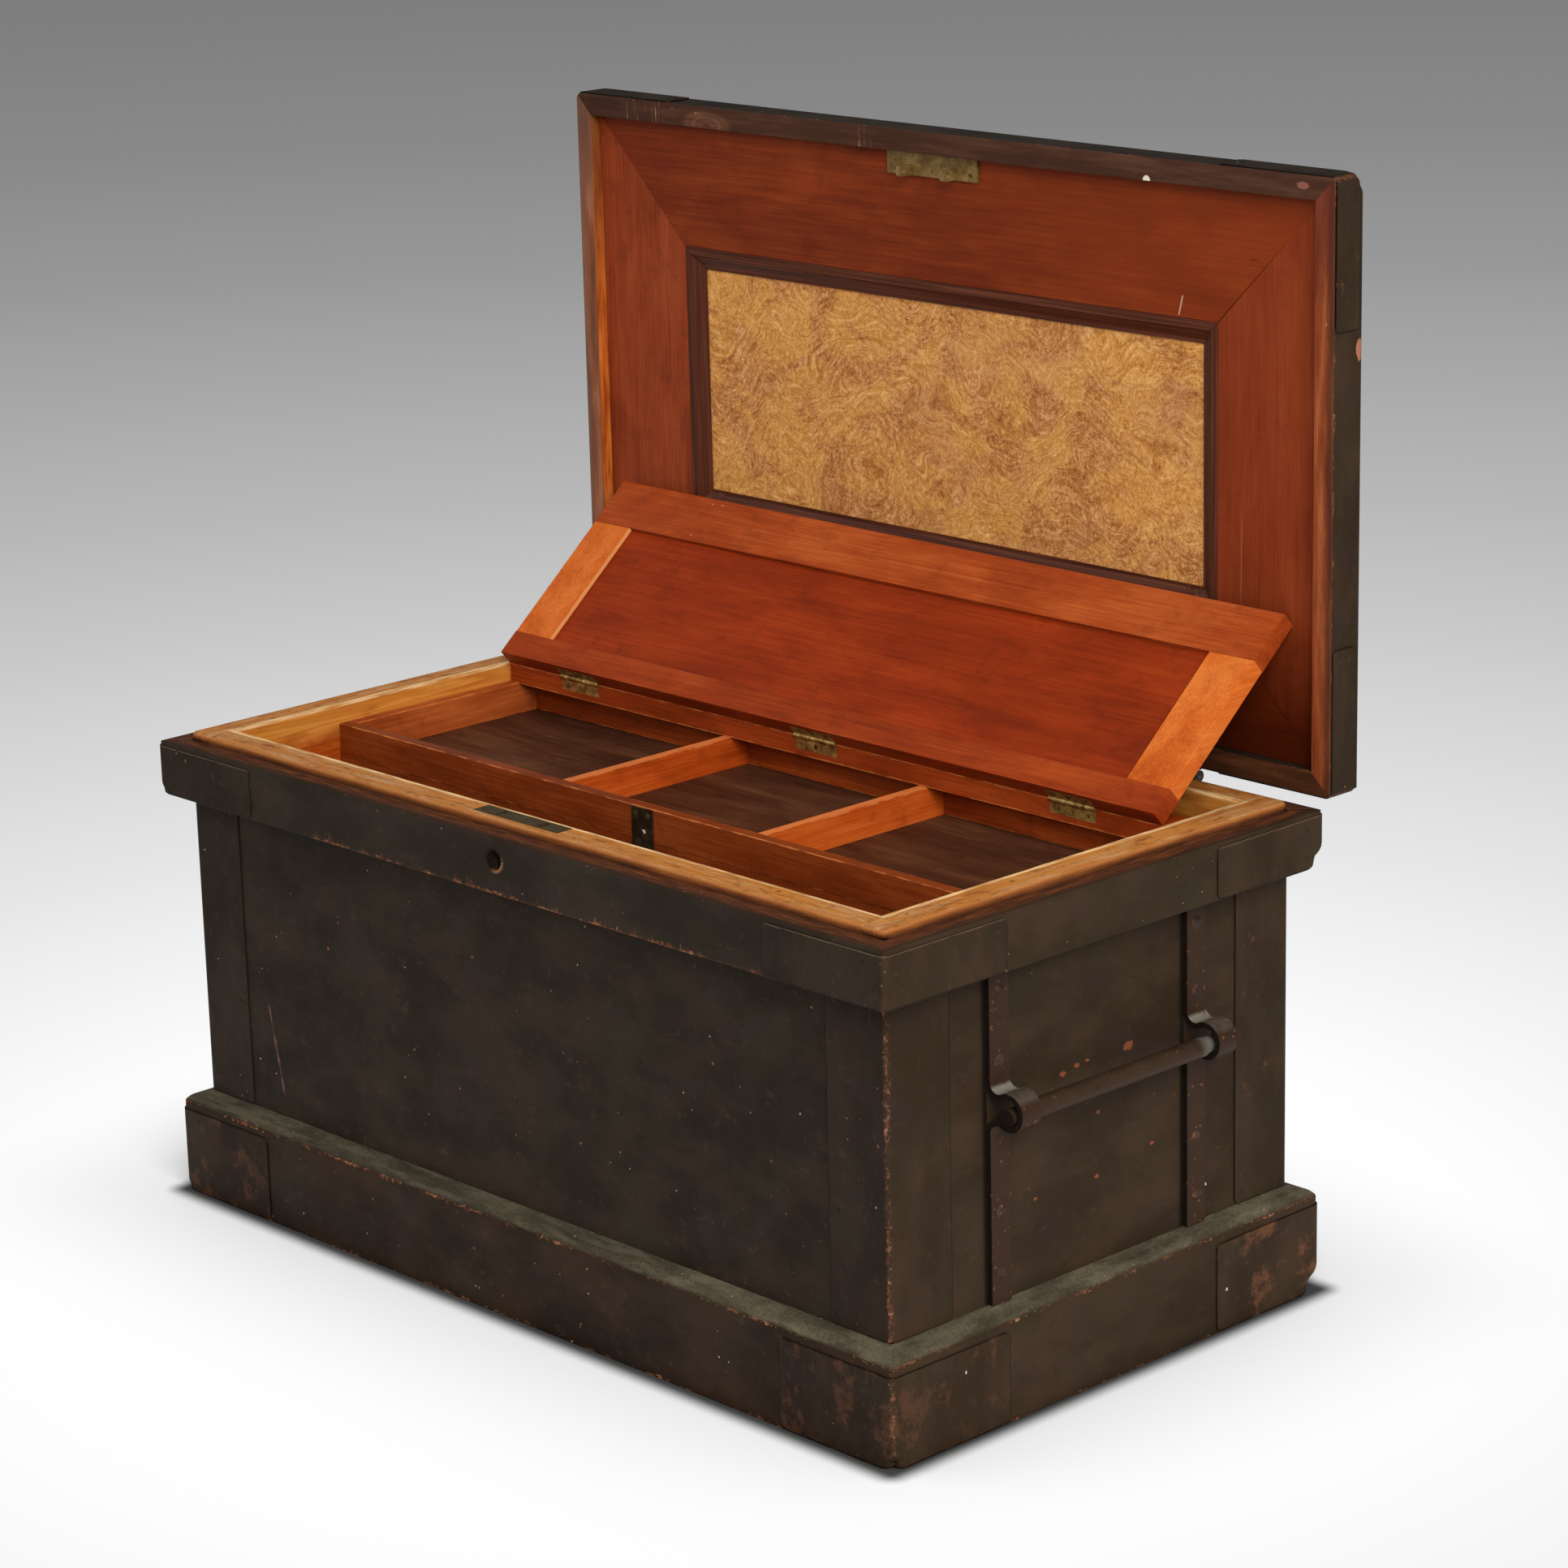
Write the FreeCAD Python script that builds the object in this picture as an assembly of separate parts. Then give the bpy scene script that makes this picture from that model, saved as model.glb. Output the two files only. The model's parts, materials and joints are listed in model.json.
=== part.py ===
import FreeCAD, Part
import math
import os
from FreeCAD import Placement, Rotation, Vector

# A joiner's tool chest with its lid open. Millimetres, +Z up, +X to the right along the
# front, the front towards -Y. The origin is on the floor under the middle of the carcass.
# Lid and till flap are modelled shut, and turned open about their own hinges at the end.

os.makedirs("parts", exist_ok=True)

# ---------------------------------------------------------------- driving dimensions

# Carcass: four dovetailed boards on a boarded bottom.
BODY_LENGTH = 850.0
BODY_DEPTH = 460.0
BOARD = 27.0
BOTTOM_THICKNESS = 16.0
BOTTOM_BOARD_COUNT = 7
BOARD_JOINT = 0.4
LIP_ROUND = 3.5
CORNER_ROUND = 6.0
TAIL_SPACING = 51.0
TAIL_ROOT_WIDTH = 30.0
TAIL_SLOPE = 1.0 / 7.0
FEWEST_TAILS = 3

# Plinth and top band, nailed round the outside, and the bare wall between them.
PLINTH_HEIGHT = 94.0
PLINTH_FACE_HEIGHT = 86.5
PLINTH_THICKNESS = 19.0
PLINTH_ROUND = 14.0
PLINTH_FOOT_ROUND = 1.0
WALL_SHOW = 273.0
BAND_HEIGHT = 47.5
BAND_THICKNESS = 20.0
BAND_ROUND = 3.5
LIP_HEIGHT = 7.5

# Sheet iron corner plates and the nails that hold them.
SHEET = 1.2
SHEET_CORNER_ROUND = 5.0
SHEET_EDGE = 1.8
BAND_PLATE_FRONT = 129.0
BAND_PLATE_END = 130.0
PLINTH_PLATE_FRONT = 122.0
PLINTH_PLATE_END = 128.0
LID_PLATE_LEG = 122.0
CORNER_IRON_FRONT = 63.0
CORNER_IRON_END = 66.0
NAIL_RADIUS = 1.0
NAIL_LENGTH = 14.0
NAIL_HEAD_RADIUS = 2.9
NAIL_HEAD_HEIGHT = 1.1
NAIL_INSET = 10.0
NAIL_FROM_CORNER = 22.0
NAIL_ROW_INSET = 9.0
WIDE_PLATE_COLUMNS = 2
WIDE_PLATE_ROWS = 2
CORNER_IRON_COLUMNS = 1
CORNER_IRON_ROWS = 4

# Lifting handles: a bar lying loose in the eyes of two straps on each end.
STRAP_WIDTH = 21.6
STRAP_THICKNESS = 4.5
STRAP_SPREAD = 113.0
STRAP_BEND = 10.0
EYE_RADIUS = 11.0
EYE_HEIGHT = 256.0
BAR_STAND_OFF = 23.0
BAR_RADIUS = 8.0
BAR_TENON_RADIUS = 7.0
BAR_SHOULDER_GAP = 3.7
BAR_END_PROUD = 1.0
STRAP_BOLT_RADIUS = 3.0
STRAP_BOLT_LENGTH = 24.0
STRAP_BOLT_HEAD_RADIUS = 5.5
STRAP_BOLT_HEAD_HEIGHT = 2.4
STRAP_BOLT_FROM_FOOT = 25.0
STRAP_BOLT_BELOW_EYE = 87.0
STRAP_BOLT_ABOVE_EYE = 35.0
STRAP_BOLT_FROM_HEAD = 19.0

# Lid: a boarded top inside a skirt, lined with a mitred frame round a burr panel.
LID_HEIGHT = 41.0
LID_GAP = 0.4
SKIRT_CLEARANCE = 1.0
SKIRT_TOP_ROUND = 10.0
SKIRT_BOTTOM_ROUND = 1.2
LID_FRAME_RECESS = 11.0
LID_FRAME_WIDTH = 110.0
LID_FRAME_THICKNESS = 12.0
LID_BOARD_COUNT = 3
MOULDING_WIDTH = 20.0
MOULDING_FILLET = 7.5
MOULDING_EDGE = 1.5
MOULDING_QUIRK = 2.2
PANEL_THICKNESS = 4.0
PANEL_GAP = 0.3

# Lid hinges: butts let into the band and the skirt, knuckles clear of the back.
LID_HINGE_PLACES = [-270.0, 0.0, 270.0]
LID_HINGE_LENGTH = 75.0
LID_HINGE_LEAF = 2.0
LID_HINGE_BARREL = 5.0
LID_HINGE_PIN = 2.0
LID_HINGE_OFFSET = 6.5
LID_HINGE_MARGIN = 2.0
LID_OPEN_DEGREES = 90.0

# Box lock let into the front board, and the link plate on the lid that it holds.
LOCK_LENGTH = 88.0
LOCK_WIDTH = 13.5
LOCK_DEPTH = 62.0
LOCK_WALL = 1.5
LOCK_FROM_FACE = 8.0
SELVAGE_LENGTH = 104.0
SELVAGE_WIDTH = 17.5
SELVAGE_THICKNESS = 2.5
KEYHOLE_X = 4.0
KEYHOLE_DEPTH = 26.0
KEYHOLE_RADIUS = 2.8
KEYHOLE_SLOT_WIDTH = 2.6
KEYHOLE_SLOT_HEIGHT = 9.0
KEYHOLE_HOLLOW_RADIUS = 8.5
KEYHOLE_HOLLOW_DEPTH = 5.0
HOOK_SPREAD = 26.0
HOOK_THICKNESS = 4.0
HOOK_WIDTH = 9.0
HOOK_DEPTH = 15.0
HOOK_EYE_RADIUS = 3.2
HOOK_EYE_ABOVE_TIP = 5.0
HOOK_CLEARANCE = 1.1
HOOK_TIP_ROUND = 2.0
BOLT_BELOW_HOOK = 2.2
LINK_PLATE_LENGTH = 106.0
LINK_PLATE_WIDTH = 20.5
LINK_PLATE_THICKNESS = 3.0
LINK_SCREW_INSET = 8.0
LINK_SCREW_ROW = 5.0
BOLT_THROW = 8.0
BOLT_WIDTH = 8.0
BOLT_HEIGHT = 6.0
BOLT_PRONG_RADIUS = 2.5
BOLT_PRONG_LENGTH = 8.0
BOLT_PRONG_GAP = 1.0
BOLT_LUG = 4.0

# Till: a shallow sliding tray in three compartments, on two runners.
TILL_FRONT_Y = -89.0
TILL_RAIL_FRONT_Y = 110.4
TILL_BACK_Y = 142.0
TILL_BELOW_LIP = 16.6
TILL_WALL = 11.5
TILL_INNER_DEPTH = 29.4
TILL_BOTTOM = 9.0
TILL_SIDE_GAP = 1.0
DIVIDER_THICKNESS = 8.0
DIVIDER_PLACES = [-108.6, 130.4]
DIVIDER_DROP = 1.5
RAIL_HOUSING = 1.2
RAIL_ROUND = 2.0
RUNNER_WIDTH = 14.0
RUNNER_HEIGHT = 18.0
SLIDE_GAP = 0.3
TILL_PLATE_WIDTH = 25.0
TILL_PLATE_HEIGHT = 33.0
TILL_PLATE_THICKNESS = 1.5
TILL_PLATE_X = 3.5
TILL_PLATE_DROP = 1.0
TILL_PLATE_HOLE = 1.9
TILL_PLATE_HOLE_RISE = 12.0
TILL_PLATE_SCREW_INSET = 5.0

# Till flap: a framed lid hinged on the till's back rail, leaning on the open chest lid.
FLAP_WIDTH = 206.0
FLAP_THICKNESS = 16.0
FLAP_HINGE_RAIL = 25.0
FLAP_FREE_RAIL = 49.0
FLAP_STILE = 47.0
FLAP_PANEL_THICKNESS = 8.0
FLAP_PANEL_TONGUE = 6.0
FLAP_PANEL_RECESS = 4.5
FLAP_ROUND = 1.5
FLAP_LEAN_GAP = 0.3
FLAP_HINGE_PLACES = [-300.0, 3.0, 300.0]
FLAP_HINGE_LENGTH = 50.0
FLAP_HINGE_LEAF = 1.2
FLAP_HINGE_LEAF_WIDTH = 12.0
FLAP_HINGE_BARREL = 2.5
FLAP_HINGE_PIN = 1.2
FLAP_HINGE_JOINT = 0.4

# Fits and screws shared by several pieces.
KNUCKLE_COUNT = 5
KNUCKLE_GAP = 0.4
KNUCKLE_CLEARANCE = 0.5
PIN_FIXED_FIT = 0.02
PIN_RUNNING_FIT = 0.05
SEAT = 0.3
WOOD_SCREW_HEAD_RADIUS = 3.6
WOOD_SCREW_HEAD_HEIGHT = 2.0
WOOD_SCREW_RADIUS = 1.6
WOOD_SCREW_LENGTH = 14.0
SMALL_SCREW_HEAD_RADIUS = 2.3
SMALL_SCREW_HEAD_HEIGHT = 1.0
SMALL_SCREW_RADIUS = 0.9
SMALL_SCREW_LENGTH = 9.0
SCREW_SLOT_WIDTH = 0.7
SCREW_SLOT_DEPTH = 0.6
LEAF_SCREW_COUNT = 3

# How far a cutting shape runs past the face that it cuts, and the slack for equal places.
CUT_PAST = 1.0
SAME_PLACE = 1e-6

# ---------------------------------------------------------------- derived places

wood_screw = (WOOD_SCREW_HEAD_RADIUS, WOOD_SCREW_HEAD_HEIGHT, WOOD_SCREW_RADIUS,
              WOOD_SCREW_LENGTH)
small_screw = (SMALL_SCREW_HEAD_RADIUS, SMALL_SCREW_HEAD_HEIGHT, SMALL_SCREW_RADIUS,
               SMALL_SCREW_LENGTH)

half_x = BODY_LENGTH / 2
half_y = BODY_DEPTH / 2
inner_x = half_x - BOARD
inner_y = half_y - BOARD
band_bottom = PLINTH_HEIGHT + WALL_SHOW
band_top = band_bottom + BAND_HEIGHT
lip_top = band_top + LIP_HEIGHT
carcass_height = lip_top - BOTTOM_THICKNESS

plinth_x = half_x + PLINTH_THICKNESS
plinth_y = half_y + PLINTH_THICKNESS
plinth_slope = math.atan2(PLINTH_HEIGHT - PLINTH_FACE_HEIGHT, PLINTH_THICKNESS)
plinth_flat_top = PLINTH_FACE_HEIGHT - PLINTH_ROUND / math.tan((math.pi / 2 + plinth_slope) / 2)
outer_x = half_x + BAND_THICKNESS
outer_y = half_y + BAND_THICKNESS
skirt_thickness = BAND_THICKNESS - SKIRT_CLEARANCE
lid_bottom = band_top + LID_GAP
lid_top = lid_bottom + LID_HEIGHT
lid_face = lid_bottom + LID_FRAME_RECESS
lid_boards_bottom = lid_face + LID_FRAME_THICKNESS
lid_inner_x = outer_x - skirt_thickness
lid_inner_y = outer_y - skirt_thickness
lid_axis = (outer_y + LID_HINGE_OFFSET, band_top + LID_GAP / 2)

lock_y = -half_y + LOCK_FROM_FACE + LOCK_WIDTH / 2
selvage_bottom = lip_top - SELVAGE_THICKNESS
hook_tip = lid_face - LINK_PLATE_THICKNESS - HOOK_DEPTH
hook_eye_z = hook_tip + HOOK_EYE_ABOVE_TIP
bolt_top = hook_tip - BOLT_BELOW_HOOK
lug_from_hook = HOOK_THICKNESS / 2 + BOLT_PRONG_GAP + BOLT_PRONG_LENGTH
bolt_left = -HOOK_SPREAD - lug_from_hook - BOLT_LUG
bolt_right = HOOK_SPREAD - lug_from_hook

till_top = lip_top - TILL_BELOW_LIP
till_floor = till_top - TILL_INNER_DEPTH
till_bottom_z = till_floor - TILL_BOTTOM
till_half_x = inner_x - TILL_SIDE_GAP
rail_bottom = till_top - RAIL_HOUSING
rail_top = till_top + SEAT + FLAP_THICKNESS
flap_axis = (TILL_RAIL_FRONT_Y - FLAP_HINGE_JOINT / 2, rail_top)
flap_back_y = flap_axis[0] - FLAP_HINGE_JOINT / 2
flap_front_y = flap_back_y - FLAP_WIDTH

# The open lid's lining stands upright behind the flap, which leans back until it nearly
# touches it: the lean is the flap's slope above the horizontal.
lid_face_open_y = lid_axis[0] + (lid_face - lid_axis[1])
flap_reach = flap_axis[0] - flap_front_y
flap_lean = math.degrees(math.acos((lid_face_open_y - FLAP_LEAN_GAP - flap_axis[0]) / flap_reach))
flap_open_degrees = 180.0 - flap_lean

# ---------------------------------------------------------------- shape helpers


def box(x0, x1, y0, y1, z0, z1):
    """Block between two corners."""
    return Part.makeBox(x1 - x0, y1 - y0, z1 - z0, Vector(x0, y0, z0))


def fillet_points(before, corner, after, radius):
    """Start, middle and end of the arc that rounds one corner of an outline."""
    to_before = (before - corner).normalize()
    to_after = (after - corner).normalize()
    half_angle = to_before.getAngle(to_after) / 2
    along = radius / math.tan(half_angle)
    inward = (to_before + to_after).normalize()
    middle = corner + inward * (radius / math.sin(half_angle) - radius)
    return corner + to_before * along, middle, corner + to_after * along


def outline_face(points, place):
    """Closed face through (u, v, corner radius) points, put into space by place(u, v)."""
    corners = [place(u, v) for u, v, _ in points]
    edges = []
    starts, ends = [], []
    for index, (_, _, radius) in enumerate(points):
        corner = corners[index]
        if radius > 0:
            before = corners[index - 1]
            after = corners[(index + 1) % len(points)]
            start, middle, end = fillet_points(before, corner, after, radius)
            edges.append(Part.Arc(start, middle, end).toShape())
        else:
            start, end = corner, corner
        starts.append(start)
        ends.append(end)
    for index, end in enumerate(ends):
        edges.append(Part.LineSegment(end, starts[(index + 1) % len(points)]).toShape())
    return Part.Face(Part.Wire(Part.__sortEdges__(edges)))


def prism_x(points, x0, x1):
    """Outline of (y, z, radius) points drawn out along X."""
    face = outline_face(points, lambda y, z: Vector(x0, y, z))
    return face.extrude(Vector(x1 - x0, 0, 0))


def prism_y(points, y0, y1):
    """Outline of (x, z, radius) points drawn out along Y."""
    face = outline_face(points, lambda x, z: Vector(x, y0, z))
    return face.extrude(Vector(0, y1 - y0, 0))


def prism_z(points, z0, z1):
    """Outline of (x, y, radius) points drawn out along Z."""
    face = outline_face(points, lambda x, y: Vector(x, y, z0))
    return face.extrude(Vector(0, 0, z1 - z0))


def turned(shape, axis, degrees):
    """Copy turned about the X direction through the (y, z) point axis."""
    copy = shape.copy()
    copy.rotate(Vector(0, axis[0], axis[1]), Vector(1, 0, 0), degrees)
    return copy


def moved(shape, x, y, z):
    """Copy shifted by x, y and z."""
    copy = shape.copy()
    copy.translate(Vector(x, y, z))
    return copy


def pointed(shape, direction, place):
    """Copy of a +Z shape turned to point along direction, with its origin at place."""
    copy = shape.copy()
    copy.Placement = Placement(place, Rotation(Vector(0, 0, 1), direction))
    return copy


def mirror_x(shape):
    """Copy reflected from one end of the chest to the other."""
    return shape.mirror(Vector(0, 0, 0), Vector(1, 0, 0))


def mirror_y(shape):
    """Copy reflected from front to back."""
    return shape.mirror(Vector(0, 0, 0), Vector(0, 1, 0))


def four_corners(shape):
    """The shape at the back right corner, and its reflections at the other three."""
    back_left = mirror_x(shape)
    return [shape, back_left, mirror_y(shape), mirror_y(back_left)]


def mitred_frame(frame_x, frame_y, depth, profile):
    """Four mitred members round a rectangle of half sizes frame_x and frame_y.

    The profile's points are (distance in from the outer face, z, radius).
    """
    sides = {}
    turns = {"front": 0.0, "right": 90.0, "back": 180.0, "left": 270.0}
    for name, turn in turns.items():
        along, across = (frame_x, frame_y) if name in ("front", "back") else (frame_y, frame_x)
        section = [(across_in - across, z, radius) for across_in, z, radius in profile]
        heights = [z for _, z, _ in profile]
        member = prism_x(section, -along, along)
        wedge = prism_z(
            [(-along, -across, 0), (along, -across, 0), (along - depth, depth - across, 0),
             (depth - along, depth - across, 0)],
            min(heights) - CUT_PAST, max(heights) + CUT_PAST)
        member = member.common(wedge)
        member.rotate(Vector(0, 0, 0), Vector(0, 0, 1), turn)
        sides[name] = member
    return sides


def round_cornered(frame_x, frame_y, z0, z1):
    """Block of half sizes frame_x and frame_y whose upright corners are worn round."""
    return prism_z([(-frame_x, -frame_y, CORNER_ROUND), (frame_x, -frame_y, CORNER_ROUND),
                    (frame_x, frame_y, CORNER_ROUND), (-frame_x, frame_y, CORNER_ROUND)], z0, z1)


def round_cornered_frame(frame_x, frame_y, depth, profile):
    """Mitred frame whose four outer corners are worn round."""
    heights = [z for _, z, _ in profile]
    outside = round_cornered(frame_x, frame_y, min(heights) - CUT_PAST, max(heights) + CUT_PAST)
    members = mitred_frame(frame_x, frame_y, depth, profile)
    return {name: member.common(outside) for name, member in members.items()}


def dome(radius, height):
    """Low round head standing on z = 0."""
    sphere_radius = (radius ** 2 + height ** 2) / (2 * height)
    latitude = math.degrees(math.asin((sphere_radius - height) / sphere_radius))
    centre = Vector(0, 0, height - sphere_radius)
    return Part.makeSphere(sphere_radius, centre, Vector(0, 0, 1), latitude, 90.0, 360.0)


def headed_pin(head_radius, head_height, radius, length):
    """Nail or bolt whose round head stands on z = 0, with its shank below."""
    shank = Part.makeCylinder(radius, length, Vector(0, 0, -length))
    return shank.fuse(dome(head_radius, head_height)).removeSplitter()


def screw_space(head_radius, head_height, radius, length):
    """Room that a countersunk screw fills, its head flush with z = 0."""
    head = Part.makeCone(radius, head_radius, head_height, Vector(0, 0, -head_height))
    shank = Part.makeCylinder(radius, length, Vector(0, 0, -length))
    return shank.fuse(head).removeSplitter()


def screw(head_radius, head_height, radius, length):
    """Countersunk wood screw with a slotted head."""
    slot = box(-head_radius, head_radius, -SCREW_SLOT_WIDTH / 2, SCREW_SLOT_WIDTH / 2,
               -SCREW_SLOT_DEPTH, CUT_PAST)
    return screw_space(head_radius, head_height, radius, length).cut(slot)


def cut_all(shape, tools):
    """The shape less every tool, each as its own solid."""
    return shape.cut(Part.makeCompound(tools)) if tools else shape


nodes = {}


def keep(name, *shapes):
    """Name a node and give it its solids."""
    solids = [solid for shape in shapes for solid in shape.Solids]
    nodes[name] = solids


# ---------------------------------------------------------------- sheet iron plates


def plate_at_corner(face_x, face_y, leg_x, leg_y, z0, z1):
    """Bent plate on the back right corner of a box of half sizes face_x and face_y."""
    widest_round = (z1 - z0) / 3
    corner_round = min(SHEET_CORNER_ROUND, widest_round)
    outside_x = face_x + SHEET
    outside_y = face_y + SHEET
    start_x = face_x - leg_x
    start_y = face_y - leg_y
    bent = prism_z(
        [(start_x, face_y, 0), (face_x, face_y, CORNER_ROUND), (face_x, start_y, 0),
         (outside_x, start_y, 0), (outside_x, outside_y, CORNER_ROUND + SHEET),
         (start_x, outside_y, 0)], z0, z1)
    along_x = prism_y(
        [(start_x, z0, corner_round), (outside_x, z0, 0), (outside_x, z1, 0),
         (start_x, z1, corner_round)], face_y - CORNER_ROUND, outside_y)
    along_y = prism_x(
        [(start_y, z0, corner_round), (outside_y, z0, 0), (outside_y, z1, 0),
         (start_y, z1, corner_round)], face_x - CORNER_ROUND, outside_x)
    return bent.common(along_x.fuse(along_y)).removeSplitter()


def spaced(first, last, count):
    """Evenly spaced values from first to last."""
    return [first + (last - first) * index / (count - 1) for index in range(count)]


def plate_nails(face_x, face_y, leg_x, leg_y, z0, z1, columns, rows):
    """Nails through both legs of a corner plate on the back right corner."""
    nail = headed_pin(NAIL_HEAD_RADIUS, NAIL_HEAD_HEIGHT, NAIL_RADIUS, NAIL_LENGTH)
    heights = spaced(z0 + NAIL_ROW_INSET, z1 - NAIL_ROW_INSET, rows)
    nails = []
    for z in heights:
        for along in nail_columns(leg_x, columns):
            place = Vector(face_x - along, face_y + SHEET, z)
            nails.append(pointed(nail, Vector(0, 1, 0), place))
        for along in nail_columns(leg_y, columns):
            place = Vector(face_x + SHEET, face_y - along, z)
            nails.append(pointed(nail, Vector(1, 0, 0), place))
    return nails


def nail_columns(leg, columns):
    """Distances from the corner at which a leg is nailed."""
    if columns == 1:
        return [leg - NAIL_INSET]
    return spaced(NAIL_FROM_CORNER, leg - NAIL_INSET, columns)


def nailed_plates(face_x, face_y, leg_x, leg_y, z0, z1, columns, rows):
    """Four corner plates and all their nails."""
    nails = plate_nails(face_x, face_y, leg_x, leg_y, z0, z1, columns, rows)
    plate = plate_at_corner(face_x, face_y, leg_x, leg_y, z0, z1)
    plate = cut_all(plate, nails)
    all_nails = [copy for nail in nails for copy in four_corners(nail)]
    return four_corners(plate), all_nails


band_plates, band_nails = nailed_plates(
    outer_x, outer_y, BAND_PLATE_FRONT, BAND_PLATE_END,
    band_bottom + SHEET_EDGE, band_top - BAND_ROUND - SEAT,
    WIDE_PLATE_COLUMNS, WIDE_PLATE_ROWS)
plinth_plates, plinth_nails = nailed_plates(
    plinth_x, plinth_y, PLINTH_PLATE_FRONT, PLINTH_PLATE_END,
    SHEET_EDGE, plinth_flat_top,
    WIDE_PLATE_COLUMNS, WIDE_PLATE_ROWS)
corner_irons, iron_nails = nailed_plates(
    half_x, half_y, CORNER_IRON_FRONT, CORNER_IRON_END,
    PLINTH_HEIGHT + SEAT, band_bottom - SEAT,
    CORNER_IRON_COLUMNS, CORNER_IRON_ROWS)
lid_plates, lid_plate_nails = nailed_plates(
    outer_x, outer_y, LID_PLATE_LEG, LID_PLATE_LEG,
    lid_bottom + SHEET_EDGE, lid_top - SKIRT_TOP_ROUND - SEAT,
    WIDE_PLATE_COLUMNS, WIDE_PLATE_ROWS)

keep("band_corner_plates", *band_plates)
keep("plinth_corner_plates", *plinth_plates)
keep("corner_irons", *corner_irons)
keep("plate_nails", *band_nails, *plinth_nails, *iron_nails)

# ---------------------------------------------------------------- lifting handles


def arc_in_xz(centre_x, centre_z, radius, start, end, y):
    """Arc in the plane of X and Z between two angles in degrees."""
    points = []
    for angle in (start, (start + end) / 2, end):
        turn = math.radians(angle)
        points.append(Vector(centre_x + radius * math.cos(turn), y,
                             centre_z + radius * math.sin(turn)))
    return Part.Arc(*points)


def strap_side(wall_x, offset, y):
    """One edge line of the strap, from bottom to top; offset 0 lies on the wall."""
    centre_line = STRAP_THICKNESS / 2
    ring = EYE_RADIUS + centre_line
    eye_x = wall_x + BAR_STAND_OFF
    bend_x = wall_x + centre_line + STRAP_BEND
    rise = math.sqrt((ring + STRAP_BEND) ** 2 - (eye_x - bend_x) ** 2)
    meet = math.degrees(math.atan2(rise, eye_x - bend_x))
    outward = offset - centre_line
    bend_radius = STRAP_BEND - outward
    ring_radius = ring + outward
    arcs = [
        arc_in_xz(bend_x, EYE_HEIGHT - rise, bend_radius, 180.0, meet, y),
        arc_in_xz(eye_x, EYE_HEIGHT, ring_radius, meet - 180.0, 180.0 - meet, y),
        arc_in_xz(bend_x, EYE_HEIGHT + rise, bend_radius, -meet, -180.0, y),
    ]
    x = wall_x + offset
    foot = Vector(x, y, PLINTH_HEIGHT + SEAT)
    head = Vector(x, y, band_bottom - SEAT)
    lines = [Part.LineSegment(foot, Vector(x, y, EYE_HEIGHT - rise)), *arcs,
             Part.LineSegment(Vector(x, y, EYE_HEIGHT + rise), head)]
    return foot, head, [line.toShape() for line in lines]


def handle_strap(y):
    """Iron strap on the right end, bent out into a round eye, centred on y."""
    start_y = y - STRAP_WIDTH / 2
    foot_in, head_in, inner = strap_side(half_x, 0.0, start_y)
    foot_out, head_out, outer = strap_side(half_x, STRAP_THICKNESS, start_y)
    ends = [Part.LineSegment(foot_in, foot_out).toShape(),
            Part.LineSegment(head_in, head_out).toShape()]
    wire = Part.Wire(Part.__sortEdges__(inner + outer + ends))
    return Part.Face(wire).extrude(Vector(0, STRAP_WIDTH, 0))


def handle_bar():
    """Round bar of the right handle, with a tenon at each end for the eyes."""
    shoulder = STRAP_SPREAD - STRAP_WIDTH / 2 - BAR_SHOULDER_GAP
    end = STRAP_SPREAD + STRAP_WIDTH / 2 + BAR_END_PROUD
    drop = EYE_RADIUS - BAR_TENON_RADIUS - SEAT
    centre = Vector(half_x + BAR_STAND_OFF, 0, EYE_HEIGHT - drop)
    along = Vector(0, 1, 0)
    grip = Part.makeCylinder(BAR_RADIUS, 2 * shoulder, centre - along * shoulder, along)
    tenon = Part.makeCylinder(BAR_TENON_RADIUS, 2 * end, centre - along * end, along)
    return grip.fuse(tenon).removeSplitter()


strap_bolt = headed_pin(STRAP_BOLT_HEAD_RADIUS, STRAP_BOLT_HEAD_HEIGHT,
                        STRAP_BOLT_RADIUS, STRAP_BOLT_LENGTH)
strap_ys = [-STRAP_SPREAD, STRAP_SPREAD]
strap_bolt_heights = [PLINTH_HEIGHT + STRAP_BOLT_FROM_FOOT, EYE_HEIGHT - STRAP_BOLT_BELOW_EYE,
                      EYE_HEIGHT + STRAP_BOLT_ABOVE_EYE, band_bottom - STRAP_BOLT_FROM_HEAD]
right_bolts = [pointed(strap_bolt, Vector(1, 0, 0), Vector(half_x + STRAP_THICKNESS, y, z))
               for y in strap_ys for z in strap_bolt_heights]
right_straps = [cut_all(handle_strap(y), right_bolts) for y in strap_ys]
left_bolts = [mirror_x(bolt) for bolt in right_bolts]

keep("handle_straps_right", *right_straps)
keep("handle_straps_left", *[mirror_x(strap) for strap in right_straps])
keep("handle_bar_right", handle_bar())
keep("handle_bar_left", mirror_x(handle_bar()))
keep("strap_bolts", *right_bolts, *left_bolts)

# ---------------------------------------------------------------- hinges


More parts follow.
